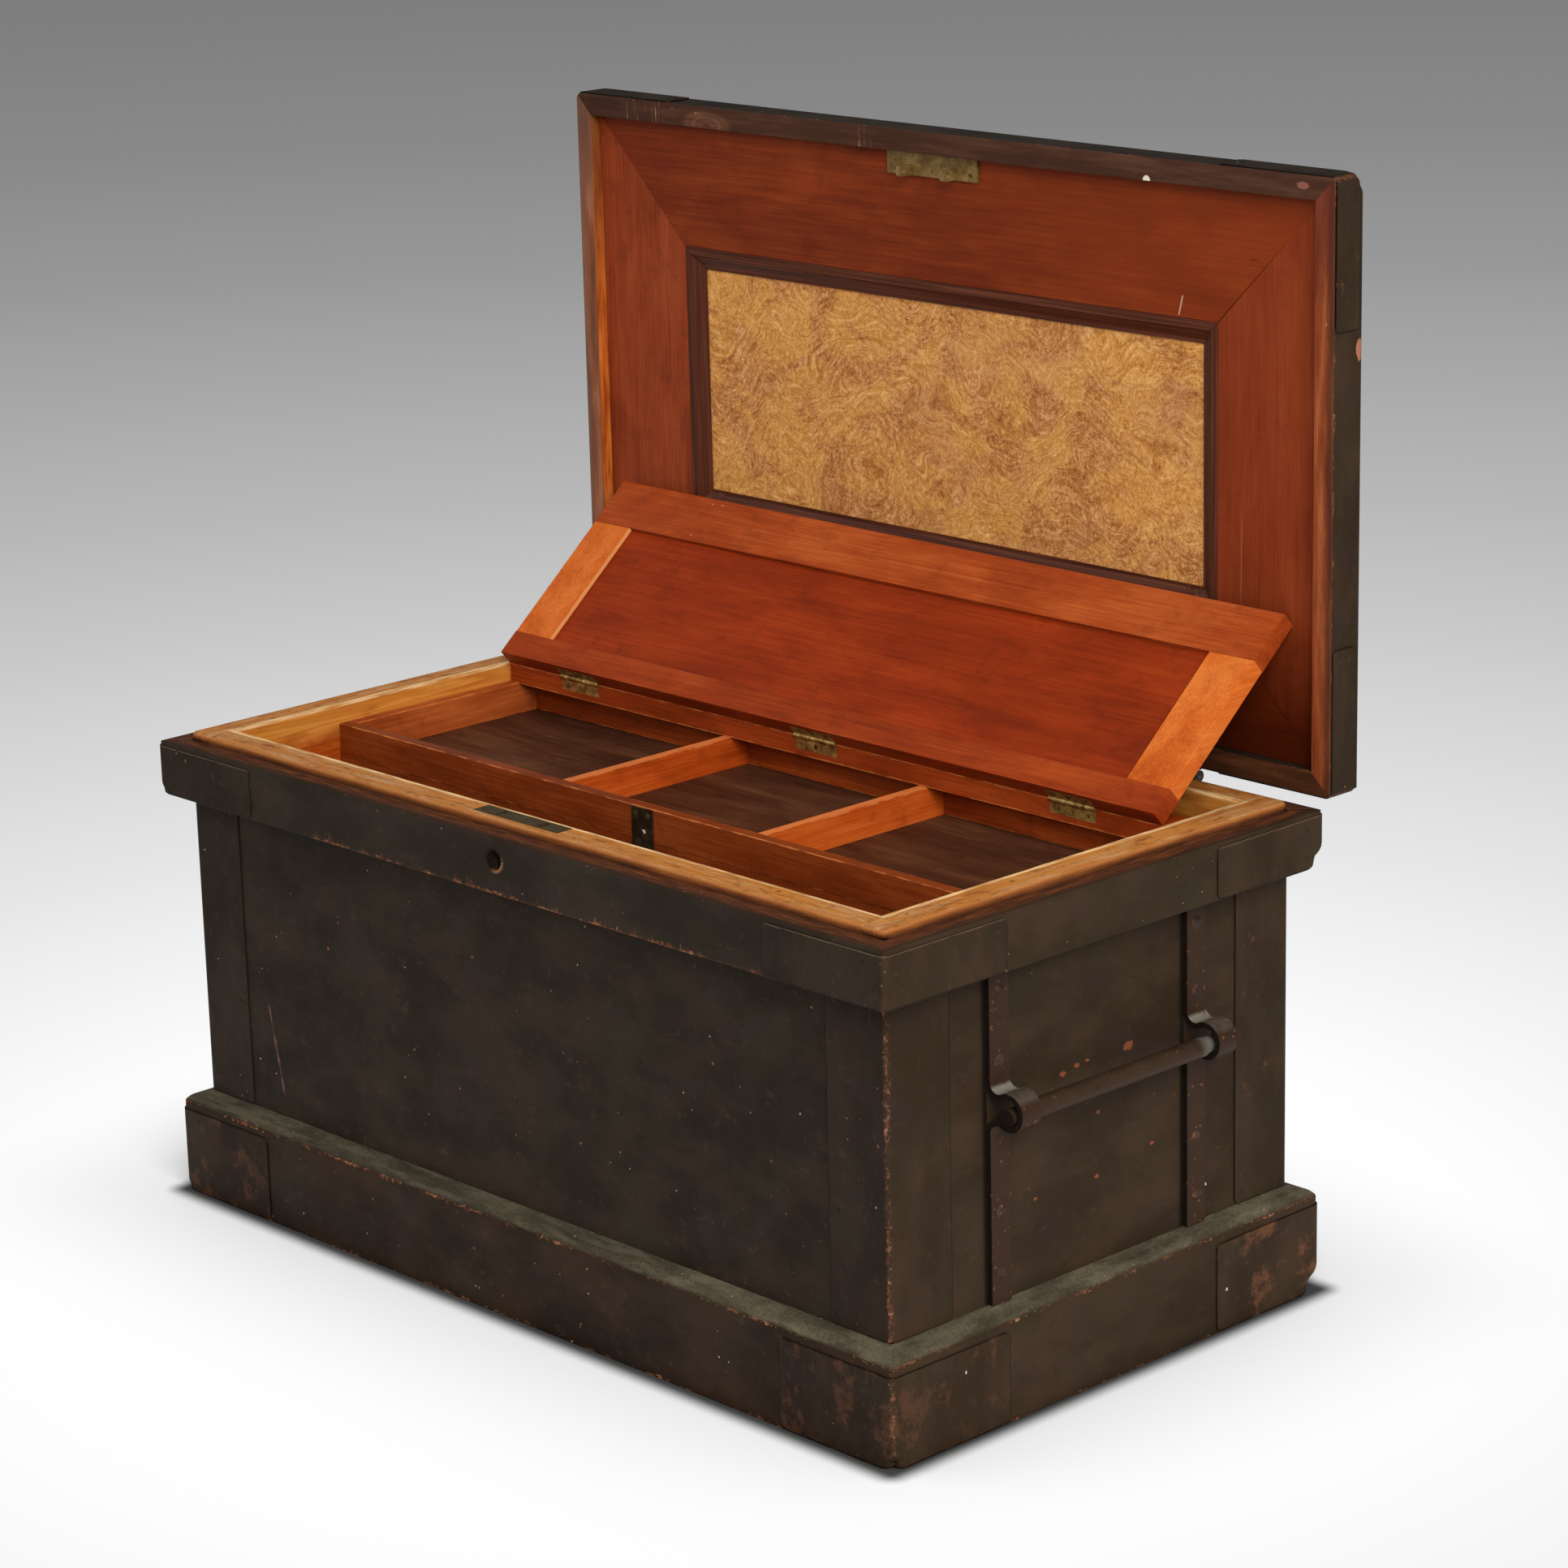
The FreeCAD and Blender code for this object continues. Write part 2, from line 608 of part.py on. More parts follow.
def butt_hinge(length, leaf, reach, barrel, pin, joint):
    """Butt with its pin along X through the origin and both leaves lying towards -Y.

    Returns the lower leaf, which holds the pin, the upper leaf, which turns, and the pin.
    """
    knuckle = (length - (KNUCKLE_COUNT - 1) * KNUCKLE_GAP) / KNUCKLE_COUNT
    clear = barrel + KNUCKLE_CLEARANCE
    leaves = []
    for side in (0, 1):
        z0 = -joint / 2 - leaf if side == 0 else joint / 2
        shape = box(-length / 2, length / 2, -reach, -clear, z0, z0 + leaf)
        for index in range(side, KNUCKLE_COUNT, 2):
            x0 = -length / 2 + index * (knuckle + KNUCKLE_GAP)
            shape = shape.fuse(box(x0, x0 + knuckle, -clear, -pin, z0, z0 + leaf))
            shape = shape.fuse(Part.makeCylinder(barrel, knuckle, Vector(x0, 0, 0), Vector(1, 0, 0)))
        bore = pin + (PIN_FIXED_FIT if side == 0 else PIN_RUNNING_FIT)
        start = Vector(-length, 0, 0)
        shape = shape.cut(Part.makeCylinder(bore, 2 * length, start, Vector(1, 0, 0)))
        leaves.append(shape.removeSplitter())
    rod = Part.makeCylinder(pin, length, Vector(-length / 2, 0, 0), Vector(1, 0, 0))
    return leaves[0], leaves[1], rod


def leaf_screws(length, reach, barrel, joint, side):
    """Row of screws in one leaf: side -1 is the lower leaf, side 1 the upper one."""
    inset = length / (2 * LEAF_SCREW_COUNT)
    middle = (reach + barrel) / 2
    direction = Vector(0, 0, -side)
    return [(direction, Vector(x, -middle, side * joint / 2))
            for x in spaced(-length / 2 + inset, length / 2 - inset, LEAF_SCREW_COUNT)]


def place_screws(size, spots):
    """Screws and the rooms they fill, at a list of directions and places."""
    one = screw(*size)
    room = screw_space(*size)
    screws = [pointed(one, direction, place) for direction, place in spots]
    rooms = [pointed(room, direction, place) for direction, place in spots]
    return screws, rooms


def hinge_set(places, length, leaf, reach, barrel, pin, joint, screw_size, place):
    """Hinges at several places along X, with leaves, pins, screws, rooms and pockets.

    The function place turns a shape from the hinge's own frame into the chest's.
    """
    lower, upper, rod = butt_hinge(length, leaf, reach, barrel, pin, joint)
    made = {key: [] for key in ("lower", "upper", "pins", "lower_screws", "upper_screws",
                                "lower_rooms", "upper_rooms", "lower_pockets", "upper_pockets")}
    for x in places:
        for key, shape, side in (("lower", lower, -1), ("upper", upper, 1)):
            spots = leaf_screws(length, reach, barrel, joint, side)
            screws, rooms = place_screws(screw_size, spots)
            low = min(side * joint / 2, side * (joint / 2 + leaf))
            pocket = box(-length / 2, length / 2, -reach, 0, low, low + leaf)
            made[key].append(place(cut_all(shape, rooms), x))
            made[key + "_screws"] += [place(item, x) for item in screws]
            made[key + "_rooms"] += [place(item, x) for item in rooms]
            made[key + "_pockets"].append(place(pocket, x))
        made["pins"].append(place(rod, x))
    return made


def place_lid_hinge(shape, x):
    """Hinge frame of the lid, shut: leaves lie forward from the axis."""
    return moved(shape, x, lid_axis[0], lid_axis[1])


def place_flap_hinge(shape, x):
    """Hinge frame of the flap, shut: leaves hang down from the axis."""
    upright = turned(shape, (0.0, 0.0), 90.0)
    return moved(upright, x, flap_axis[0], flap_axis[1])


lid_hinge_reach = LID_HINGE_OFFSET + skirt_thickness - LID_HINGE_MARGIN
lid_hinges = hinge_set(LID_HINGE_PLACES, LID_HINGE_LENGTH, LID_HINGE_LEAF, lid_hinge_reach,
                       LID_HINGE_BARREL, LID_HINGE_PIN, LID_GAP, wood_screw, place_lid_hinge)
flap_hinges = hinge_set(FLAP_HINGE_PLACES, FLAP_HINGE_LENGTH, FLAP_HINGE_LEAF,
                        FLAP_HINGE_LEAF_WIDTH, FLAP_HINGE_BARREL, FLAP_HINGE_PIN,
                        FLAP_HINGE_JOINT, small_screw, place_flap_hinge)

# ---------------------------------------------------------------- lock


def keyhole(y0, y1):
    """Round hole with a slot below it, from y0 to y1."""
    z = lip_top - KEYHOLE_DEPTH
    hole = Part.makeCylinder(KEYHOLE_RADIUS, y1 - y0, Vector(KEYHOLE_X, y0, z), Vector(0, 1, 0))
    half = KEYHOLE_SLOT_WIDTH / 2
    slot = box(KEYHOLE_X - half, KEYHOLE_X + half, y0, y1, z - KEYHOLE_SLOT_HEIGHT, z)
    return hole.fuse(slot).removeSplitter()


def keyhole_hollow():
    """Round hollow in the band's face, which leads the key to its hole."""
    start = Vector(KEYHOLE_X, -outer_y - CUT_PAST, lip_top - KEYHOLE_DEPTH)
    return Part.makeCylinder(KEYHOLE_HOLLOW_RADIUS, CUT_PAST + KEYHOLE_HOLLOW_DEPTH, start,
                             Vector(0, 1, 0))


def lock_case(key_way):
    """Open-topped iron box with two posts that carry the bolt."""
    half_length = LOCK_LENGTH / 2
    half_width = LOCK_WIDTH / 2
    floor = selvage_bottom - LOCK_DEPTH
    case = box(-half_length, half_length, lock_y - half_width, lock_y + half_width,
               floor, selvage_bottom)
    hollow = box(LOCK_WALL - half_length, half_length - LOCK_WALL,
                 lock_y - half_width + LOCK_WALL, lock_y + half_width - LOCK_WALL,
                 floor + LOCK_WALL, selvage_bottom)
    post_top = bolt_top - BOLT_HEIGHT - SEAT
    posts = [box(x - BOLT_LUG / 2, x + BOLT_LUG / 2, lock_y - half_width + LOCK_WALL,
                 lock_y + half_width - LOCK_WALL, floor + LOCK_WALL, post_top)
             for x in (-HOOK_SPREAD, bolt_right - BOLT_LUG / 2)]
    return case.cut(hollow).multiFuse(posts).removeSplitter().cut(key_way)


def lock_bolt():
    """Sliding bolt: a bar with two lugs, each with a prong that enters a hook's eye.

    The notch in its lower edge is where the key's bit pushes it along.
    """
    half_width = BOLT_WIDTH / 2
    bolt = box(bolt_left, bolt_right, lock_y - half_width, lock_y + half_width,
               bolt_top - BOLT_HEIGHT, bolt_top)
    notch = box(KEYHOLE_X - BOLT_THROW, KEYHOLE_X + KEYHOLE_SLOT_WIDTH, lock_y - half_width,
                lock_y + half_width, bolt_top - BOLT_HEIGHT, bolt_top - BOLT_HEIGHT / 2)
    bolt = bolt.cut(notch)
    for lug_end in (bolt_left + BOLT_LUG, bolt_right):
        lug = box(lug_end - BOLT_LUG, lug_end, lock_y - half_width, lock_y + half_width,
                  bolt_top, hook_eye_z + BOLT_PRONG_RADIUS)
        prong = Part.makeCylinder(BOLT_PRONG_RADIUS, BOLT_PRONG_LENGTH,
                                  Vector(lug_end, lock_y, hook_eye_z), Vector(1, 0, 0))
        bolt = bolt.multiFuse([lug, prong])
    return bolt.removeSplitter()


def hook_slots():
    """Room in the selvage for the link plate's two hooks."""
    half_x_room = HOOK_THICKNESS / 2 + HOOK_CLEARANCE
    half_y_room = HOOK_WIDTH / 2 + HOOK_CLEARANCE
    return [box(x - half_x_room, x + half_x_room, lock_y - half_y_room, lock_y + half_y_room,
                selvage_bottom - CUT_PAST, lip_top + CUT_PAST) for x in (-HOOK_SPREAD, HOOK_SPREAD)]


def link_plate():
    """Plate on the lid's lining with two eyed hooks, modelled with the lid shut."""
    back = -lid_inner_y + LINK_PLATE_WIDTH
    plate = box(-LINK_PLATE_LENGTH / 2, LINK_PLATE_LENGTH / 2, -lid_inner_y, back,
                lid_face - LINK_PLATE_THICKNESS, lid_face)
    hooks = []
    for x in (-HOOK_SPREAD, HOOK_SPREAD):
        y0 = lock_y - HOOK_WIDTH / 2
        y1 = lock_y + HOOK_WIDTH / 2
        root = lid_face - LINK_PLATE_THICKNESS / 2
        hook = prism_x(
            [(y0, hook_tip, HOOK_TIP_ROUND), (y1, hook_tip, HOOK_TIP_ROUND),
             (y1, root, 0), (y0, root, 0)],
            x - HOOK_THICKNESS / 2, x + HOOK_THICKNESS / 2)
        eye = Part.makeCylinder(HOOK_EYE_RADIUS, 2 * HOOK_THICKNESS,
                                Vector(x - HOOK_THICKNESS, lock_y, hook_eye_z), Vector(1, 0, 0))
        hooks.append(hook.cut(eye))
    return plate.multiFuse(hooks).removeSplitter()


case_block = box(-LOCK_LENGTH / 2, LOCK_LENGTH / 2, lock_y - LOCK_WIDTH / 2,
                 lock_y + LOCK_WIDTH / 2, selvage_bottom - LOCK_DEPTH, selvage_bottom)
selvage_block = box(-SELVAGE_LENGTH / 2, SELVAGE_LENGTH / 2, lock_y - SELVAGE_WIDTH / 2,
                    lock_y + SELVAGE_WIDTH / 2, selvage_bottom, lip_top)
key_way = keyhole(-outer_y - CUT_PAST, lock_y)
selvage_screw_x = (LOCK_LENGTH + SELVAGE_LENGTH) / 4
selvage_spots = [(Vector(0, 0, 1), Vector(x, lock_y, lip_top))
                 for x in (-selvage_screw_x, selvage_screw_x)]
selvage_screws, selvage_rooms = place_screws(small_screw, selvage_spots)
link_screw_x = LINK_PLATE_LENGTH / 2 - LINK_SCREW_INSET
link_middle_y = -lid_inner_y + LINK_PLATE_WIDTH / 2
link_spots = [(Vector(0, 0, -1), Vector(x, link_middle_y + side, lid_face - LINK_PLATE_THICKNESS))
              for x in (-link_screw_x, 0.0, link_screw_x)
              for side in (-LINK_SCREW_ROW, LINK_SCREW_ROW)]
link_screws, link_rooms = place_screws(small_screw, link_spots)

keep("lock_case", cut_all(lock_case(key_way), selvage_rooms))
keep("lock_selvage", cut_all(selvage_block, hook_slots() + selvage_rooms))
keep("lock_bolt", lock_bolt())

# ---------------------------------------------------------------- carcass


def dovetails(side_y):
    """Tails of the front (side_y -1) or back (1) board at its right end."""
    count = max(FEWEST_TAILS, int(carcass_height / TAIL_SPACING))
    pitch = carcass_height / count
    y0, y1 = sorted((side_y * half_y, side_y * inner_y))
    root = TAIL_ROOT_WIDTH / 2
    tip = root + BOARD * TAIL_SLOPE
    tails = []
    for index in range(count):
        z = BOTTOM_THICKNESS + (index + 0.5) * pitch
        tails.append(prism_y([(inner_x, z - root, 0), (half_x, z - tip, 0),
                              (half_x, z + tip, 0), (inner_x, z + root, 0)], y0, y1))
    return tails


def rounded_block():
    """The carcass's outside as one block, its top arrises rounded."""
    block = round_cornered(half_x, half_y, BOTTOM_THICKNESS, lip_top)
    arrises = [edge for edge in block.Edges
               if all(abs(v.Z - lip_top) < SAME_PLACE for v in edge.Vertexes)]
    return block.makeFillet(LIP_ROUND, arrises)


outside = rounded_block()
carcass_tools = iron_nails + right_bolts + left_bolts
for name, side_y in (("front", -1), ("back", 1)):
    y0, y1 = sorted((side_y * half_y, side_y * inner_y))
    right_tails = dovetails(side_y)
    board = box(-inner_x, inner_x, y0, y1, BOTTOM_THICKNESS, lip_top)
    board = board.multiFuse(right_tails + [mirror_x(tail) for tail in right_tails])
    board = board.removeSplitter().common(outside)
    if name == "front":
        board = cut_all(board, [case_block, selvage_block, key_way] + selvage_rooms)
    keep("carcass_" + name, cut_all(board, carcass_tools))
right_end = box(inner_x, half_x, -half_y, half_y, BOTTOM_THICKNESS, lip_top)
right_end = cut_all(right_end, dovetails(-1) + dovetails(1)).common(outside)
keep("carcass_right", cut_all(right_end, carcass_tools))
keep("carcass_left", cut_all(mirror_x(right_end), carcass_tools))

board_pitch = BODY_LENGTH / BOTTOM_BOARD_COUNT
bottom_boards = [box(-half_x + index * board_pitch + BOARD_JOINT / 2,
                     -half_x + (index + 1) * board_pitch - BOARD_JOINT / 2,
                     -half_y, half_y, 0.0, BOTTOM_THICKNESS)
                 for index in range(BOTTOM_BOARD_COUNT)]
keep("bottom_boards", *bottom_boards)

# ---------------------------------------------------------------- plinth and band

plinth_profile = [(0, 0, PLINTH_FOOT_ROUND), (0, PLINTH_FACE_HEIGHT, PLINTH_ROUND),
                  (PLINTH_THICKNESS, PLINTH_HEIGHT, 0), (PLINTH_THICKNESS, 0, 0)]
plinth = round_cornered_frame(plinth_x, plinth_y, PLINTH_THICKNESS, plinth_profile)
for name, member in plinth.items():
    keep("plinth_" + name, cut_all(member, plinth_nails))

band_profile = [(0, band_bottom, SHEET_EDGE - SEAT), (0, band_top, BAND_ROUND),
                (BAND_THICKNESS, band_top, 0), (BAND_THICKNESS, band_bottom, 0)]
band = round_cornered_frame(outer_x, outer_y, BAND_THICKNESS, band_profile)
for name, member in band.items():
    tools = list(band_nails)
    if name == "front":
        tools += [key_way, keyhole_hollow()]
    if name == "back":
        tools += lid_hinges["lower_pockets"] + lid_hinges["lower_rooms"]
    keep("band_" + name, cut_all(member, tools))

# ---------------------------------------------------------------- lid, modelled shut

lid = {}
skirt_profile = [(0, lid_bottom, SKIRT_BOTTOM_ROUND), (0, lid_top, SKIRT_TOP_ROUND),
                 (skirt_thickness, lid_top, 0), (skirt_thickness, lid_bottom, 0)]
skirt = round_cornered_frame(outer_x, outer_y, skirt_thickness, skirt_profile)
for name, member in skirt.items():
    tools = list(lid_plate_nails)
    if name == "back":
        tools += lid_hinges["upper_pockets"] + lid_hinges["upper_rooms"]
    lid["lid_skirt_" + name] = [cut_all(member, tools)]

lid_board_pitch = 2 * lid_inner_y / LID_BOARD_COUNT
lid_boards = [box(-lid_inner_x, lid_inner_x,
                  -lid_inner_y + index * lid_board_pitch + BOARD_JOINT / 2,
                  -lid_inner_y + (index + 1) * lid_board_pitch - BOARD_JOINT / 2,
                  lid_boards_bottom, lid_top) for index in range(LID_BOARD_COUNT)]
lid["lid_top_boards"] = [cut_all(board, link_rooms) for board in lid_boards]

frame_profile = [(0, lid_face, 0), (0, lid_boards_bottom, 0),
                 (LID_FRAME_WIDTH, lid_boards_bottom, 0), (LID_FRAME_WIDTH, lid_face, 0)]
lining = mitred_frame(lid_inner_x, lid_inner_y, LID_FRAME_WIDTH, frame_profile)
lid["lid_frame_rails"] = [cut_all(lining["front"], link_rooms), lining["back"]]
lid["lid_frame_stiles"] = [lining["left"], lining["right"]]

opening_x = lid_inner_x - LID_FRAME_WIDTH
opening_y = lid_inner_y - LID_FRAME_WIDTH
panel_face = lid_boards_bottom - PANEL_THICKNESS
lid["burr_panel"] = [box(PANEL_GAP - opening_x, opening_x - PANEL_GAP, PANEL_GAP - opening_y,
                         opening_y - PANEL_GAP, panel_face, lid_boards_bottom)]
moulding_face = lid_face + PANEL_GAP
moulding_foot = panel_face - MOULDING_EDGE
moulding_profile = [
    (0, panel_face, 0),
    (0, moulding_face, MOULDING_EDGE / 2),
    (MOULDING_FILLET, moulding_face, MOULDING_EDGE / 2),
    (MOULDING_FILLET + MOULDING_EDGE, moulding_face + MOULDING_QUIRK, 0),
    (MOULDING_WIDTH - 2 * MOULDING_EDGE, moulding_foot, 2 * MOULDING_EDGE),
    (MOULDING_WIDTH, moulding_foot, 0),
    (MOULDING_WIDTH, panel_face, 0),
]
moulding = mitred_frame(opening_x, opening_y, MOULDING_WIDTH, moulding_profile)
lid["lid_moulding"] = list(moulding.values())

lid["lid_link_plate"] = [cut_all(link_plate(), link_rooms)]
lid["lid_screws"] = link_screws + lid_hinges["upper_screws"]
lid["lid_hinge_lid_leaves"] = lid_hinges["upper"]
lid["lid_corner_plates"] = lid_plates
lid["lid_nails"] = lid_plate_nails
for name, shapes in lid.items():
    keep(name, *[turned(shape, lid_axis, -LID_OPEN_DEGREES) for shape in shapes])

keep("lid_hinge_chest_leaves", *lid_hinges["lower"])
keep("lid_hinge_pins", *lid_hinges["pins"])
keep("chest_screws", *selvage_screws, *lid_hinges["lower_screws"])

# ---------------------------------------------------------------- till

runner_top = till_bottom_z - SLIDE_GAP
runner = box(inner_x - RUNNER_WIDTH, inner_x, -inner_y, inner_y,
             runner_top - RUNNER_HEIGHT, runner_top)
keep("till_runner_right", runner)
keep("till_runner_left", mirror_x(runner))

till_inner_x = till_half_x - TILL_WALL
till_front_inner = TILL_FRONT_Y + TILL_WALL
till_back_inner = TILL_BACK_Y - TILL_WALL
plate_x0 = TILL_PLATE_X - TILL_PLATE_WIDTH / 2
plate_x1 = TILL_PLATE_X + TILL_PLATE_WIDTH / 2
plate_top = till_top - TILL_PLATE_DROP
plate_face = TILL_FRONT_Y - TILL_PLATE_THICKNESS
plate_spots = [(Vector(0, -1, 0), Vector(x, plate_face, plate_top - TILL_PLATE_SCREW_INSET))
               for x in (plate_x0 + TILL_PLATE_SCREW_INSET, plate_x1 - TILL_PLATE_SCREW_INSET)]
plate_screws, plate_rooms = place_screws(small_screw, plate_spots)
plate_foot = plate_top - TILL_PLATE_HEIGHT
plate_hole = Part.makeCylinder(TILL_PLATE_HOLE, TILL_WALL,
                               Vector(TILL_PLATE_X, plate_face, plate_foot + TILL_PLATE_HOLE_RISE),
                               Vector(0, 1, 0))
till_plate = box(plate_x0, plate_x1, plate_face, TILL_FRONT_Y, plate_foot, plate_top)

groove_half = FLAP_HINGE_LENGTH / 2 + SEAT
flap_grooves = [Part.makeCylinder(FLAP_HINGE_BARREL + SEAT, 2 * groove_half,
                                  Vector(x - groove_half, flap_axis[0], flap_axis[1]),
                                  Vector(1, 0, 0)) for x in FLAP_HINGE_PLACES]
rail = prism_x([(TILL_RAIL_FRONT_Y, rail_bottom, 0), (TILL_BACK_Y, rail_bottom, 0),
                (TILL_BACK_Y, rail_top, RAIL_ROUND), (TILL_RAIL_FRONT_Y, rail_top, 0)],
               -till_half_x, till_half_x)
till_end = box(till_inner_x, till_half_x, till_front_inner, till_back_inner, till_floor, till_top)
divider_half = DIVIDER_THICKNESS / 2
dividers = [box(x - divider_half, x + divider_half, till_front_inner, till_back_inner,
                till_floor, till_top - DIVIDER_DROP) for x in DIVIDER_PLACES]
till_front = box(-till_half_x, till_half_x, TILL_FRONT_Y, till_front_inner, till_floor, till_top)

keep("till_front", cut_all(till_front, plate_rooms + [plate_hole]))
till_back = box(-till_half_x, till_half_x, till_back_inner, TILL_BACK_Y, till_floor, rail_bottom)
till_bottom = box(-till_half_x, till_half_x, TILL_FRONT_Y, TILL_BACK_Y, till_bottom_z, till_floor)
rail_rooms = flap_grooves + flap_hinges["lower_pockets"] + flap_hinges["lower_rooms"]
keep("till_back", till_back)
keep("till_end_right", till_end.cut(rail))
keep("till_end_left", mirror_x(till_end).cut(rail))
keep("till_bottom", till_bottom)
keep("till_dividers", *dividers)
keep("till_hinge_rail", cut_all(rail, rail_rooms))
keep("till_lock_plate", cut_all(till_plate, plate_rooms + [plate_hole]))
keep("flap_hinge_till_leaves", *flap_hinges["lower"])
keep("flap_hinge_pins", *flap_hinges["pins"])
keep("till_screws", *flap_hinges["lower_screws"], *plate_screws)

# ---------------------------------------------------------------- till flap, modelled shut

flap_bottom = rail_top - FLAP_THICKNESS
tongue_z0 = flap_bottom + FLAP_PANEL_RECESS
tongue_z1 = tongue_z0 + FLAP_PANEL_THICKNESS
panel_x = till_half_x - FLAP_STILE + FLAP_PANEL_TONGUE
panel_y0 = flap_front_y + FLAP_FREE_RAIL - FLAP_PANEL_TONGUE
panel_y1 = flap_back_y - FLAP_HINGE_RAIL + FLAP_PANEL_TONGUE
flap_panel = box(-panel_x, panel_x, panel_y0, panel_y1, tongue_z0, tongue_z1)
groove_room = box(-panel_x - SEAT, panel_x + SEAT, panel_y0 - SEAT, panel_y1 + SEAT,
                  tongue_z0, tongue_z1)
free_rail_y = flap_front_y + FLAP_FREE_RAIL
hinge_rail_y = flap_back_y - FLAP_HINGE_RAIL
free_rail = prism_x([(flap_front_y, flap_bottom, FLAP_ROUND), (free_rail_y, flap_bottom, 0),
                     (free_rail_y, rail_top, 0), (flap_front_y, rail_top, FLAP_ROUND)],
                    -till_half_x, till_half_x)
hinge_rail = box(-till_half_x, till_half_x, hinge_rail_y, flap_back_y, flap_bottom, rail_top)
flap_stile = box(till_half_x - FLAP_STILE, till_half_x, free_rail_y, hinge_rail_y,
                 flap_bottom, rail_top).cut(groove_room)
hinge_rail = cut_all(hinge_rail, [groove_room] + flap_grooves + flap_hinges["upper_pockets"]
                     + flap_hinges["upper_rooms"])
flap = {
    "flap_rails": [free_rail.cut(groove_room), hinge_rail],
    "flap_stiles": [flap_stile, mirror_x(flap_stile)],
    "flap_panel": [flap_panel],
    "flap_hinge_flap_leaves": flap_hinges["upper"],
    "flap_screws": flap_hinges["upper_screws"],
}
for name, shapes in flap.items():
    keep(name, *[turned(shape, flap_axis, -flap_open_degrees) for shape in shapes])

# ---------------------------------------------------------------- write the pieces

for name, solids in nodes.items():
    shape = solids[0] if len(solids) == 1 else Part.makeCompound(solids)
    shape.exportStep("parts/" + name + ".step")

print("nodes", len(nodes))
print("lid axis y, z", lid_axis, "turns", LID_OPEN_DEGREES)
print("flap axis y, z", flap_axis, "opens", round(flap_open_degrees, 4))
print("till travel", round(inner_y + flap_front_y, 3))
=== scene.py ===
"""Looks of a carpenter's tool chest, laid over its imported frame.

Finishes measure in millimetres, because that is how the chest was made. Meshes,
lamps and the camera are in metres, as the frame is. X runs along the chest, Y
from its front to its back and Z up.
"""

import json
import logging
import math
from dataclasses import dataclass, replace
from enum import Enum

import bmesh
import bpy
import numpy as np
from mathutils import Matrix, Vector

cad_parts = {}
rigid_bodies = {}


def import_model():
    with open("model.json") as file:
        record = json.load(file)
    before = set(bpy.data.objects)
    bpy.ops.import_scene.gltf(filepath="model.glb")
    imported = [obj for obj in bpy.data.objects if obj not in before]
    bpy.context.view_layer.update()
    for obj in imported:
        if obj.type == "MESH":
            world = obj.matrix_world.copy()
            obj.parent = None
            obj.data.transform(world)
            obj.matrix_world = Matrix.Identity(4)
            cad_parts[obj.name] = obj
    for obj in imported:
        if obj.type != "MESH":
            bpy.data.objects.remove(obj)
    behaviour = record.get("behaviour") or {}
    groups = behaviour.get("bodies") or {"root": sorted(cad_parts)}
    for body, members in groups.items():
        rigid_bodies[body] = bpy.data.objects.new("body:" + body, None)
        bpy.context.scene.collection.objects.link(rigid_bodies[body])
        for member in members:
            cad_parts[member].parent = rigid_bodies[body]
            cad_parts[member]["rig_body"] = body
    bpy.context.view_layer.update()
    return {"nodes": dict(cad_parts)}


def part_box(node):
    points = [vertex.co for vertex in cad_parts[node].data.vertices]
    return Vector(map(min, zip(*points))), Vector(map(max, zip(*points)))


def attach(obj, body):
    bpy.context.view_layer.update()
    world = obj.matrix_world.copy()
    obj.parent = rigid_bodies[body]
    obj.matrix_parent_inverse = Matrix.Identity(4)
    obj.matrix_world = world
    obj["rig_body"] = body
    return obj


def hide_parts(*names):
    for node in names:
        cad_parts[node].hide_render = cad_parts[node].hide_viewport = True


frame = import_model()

LOG = logging.getLogger("tool_chest")
NODES = frame["nodes"]
SIDES = ("front", "back", "left", "right")

MM = 0.001
WELD = 0.01 * MM
SAME = 1e-7
FLAT_ANGLE = math.radians(0.5)
ARRIS_ANGLE = math.radians(25)
SMOOTH_ANGLE = math.radians(50)

Number = "float | Value"
Triple = tuple[float, float, float]
Coat = tuple[Number, Triple]


def srgb(red: float, green: float, blue: float) -> tuple[float, float, float, float]:
    """Turns a colour of 0 to 255 parts into the linear one that a shader takes.

    Args:
        red: Red part.
        green: Green part.
        blue: Blue part.

    Returns:
        The linear colour with a full alpha.
    """
    def linear(part: float) -> float:
        """One part, made linear."""
        share = part / 255
        return share / 12.92 if share <= 0.04045 else ((share + 0.055) / 1.055) ** 2.4

    return linear(red), linear(green), linear(blue), 1.0


class Axis(Enum):
    """The way that a board's grain runs."""

    X = 0
    Y = 1
    Z = 2

    def along(self, length: float, across: float) -> Triple:
        """Sizes of a grain feature, long on this axis and narrow on the others."""
        return tuple(length if i == self.value else across for i in range(3))


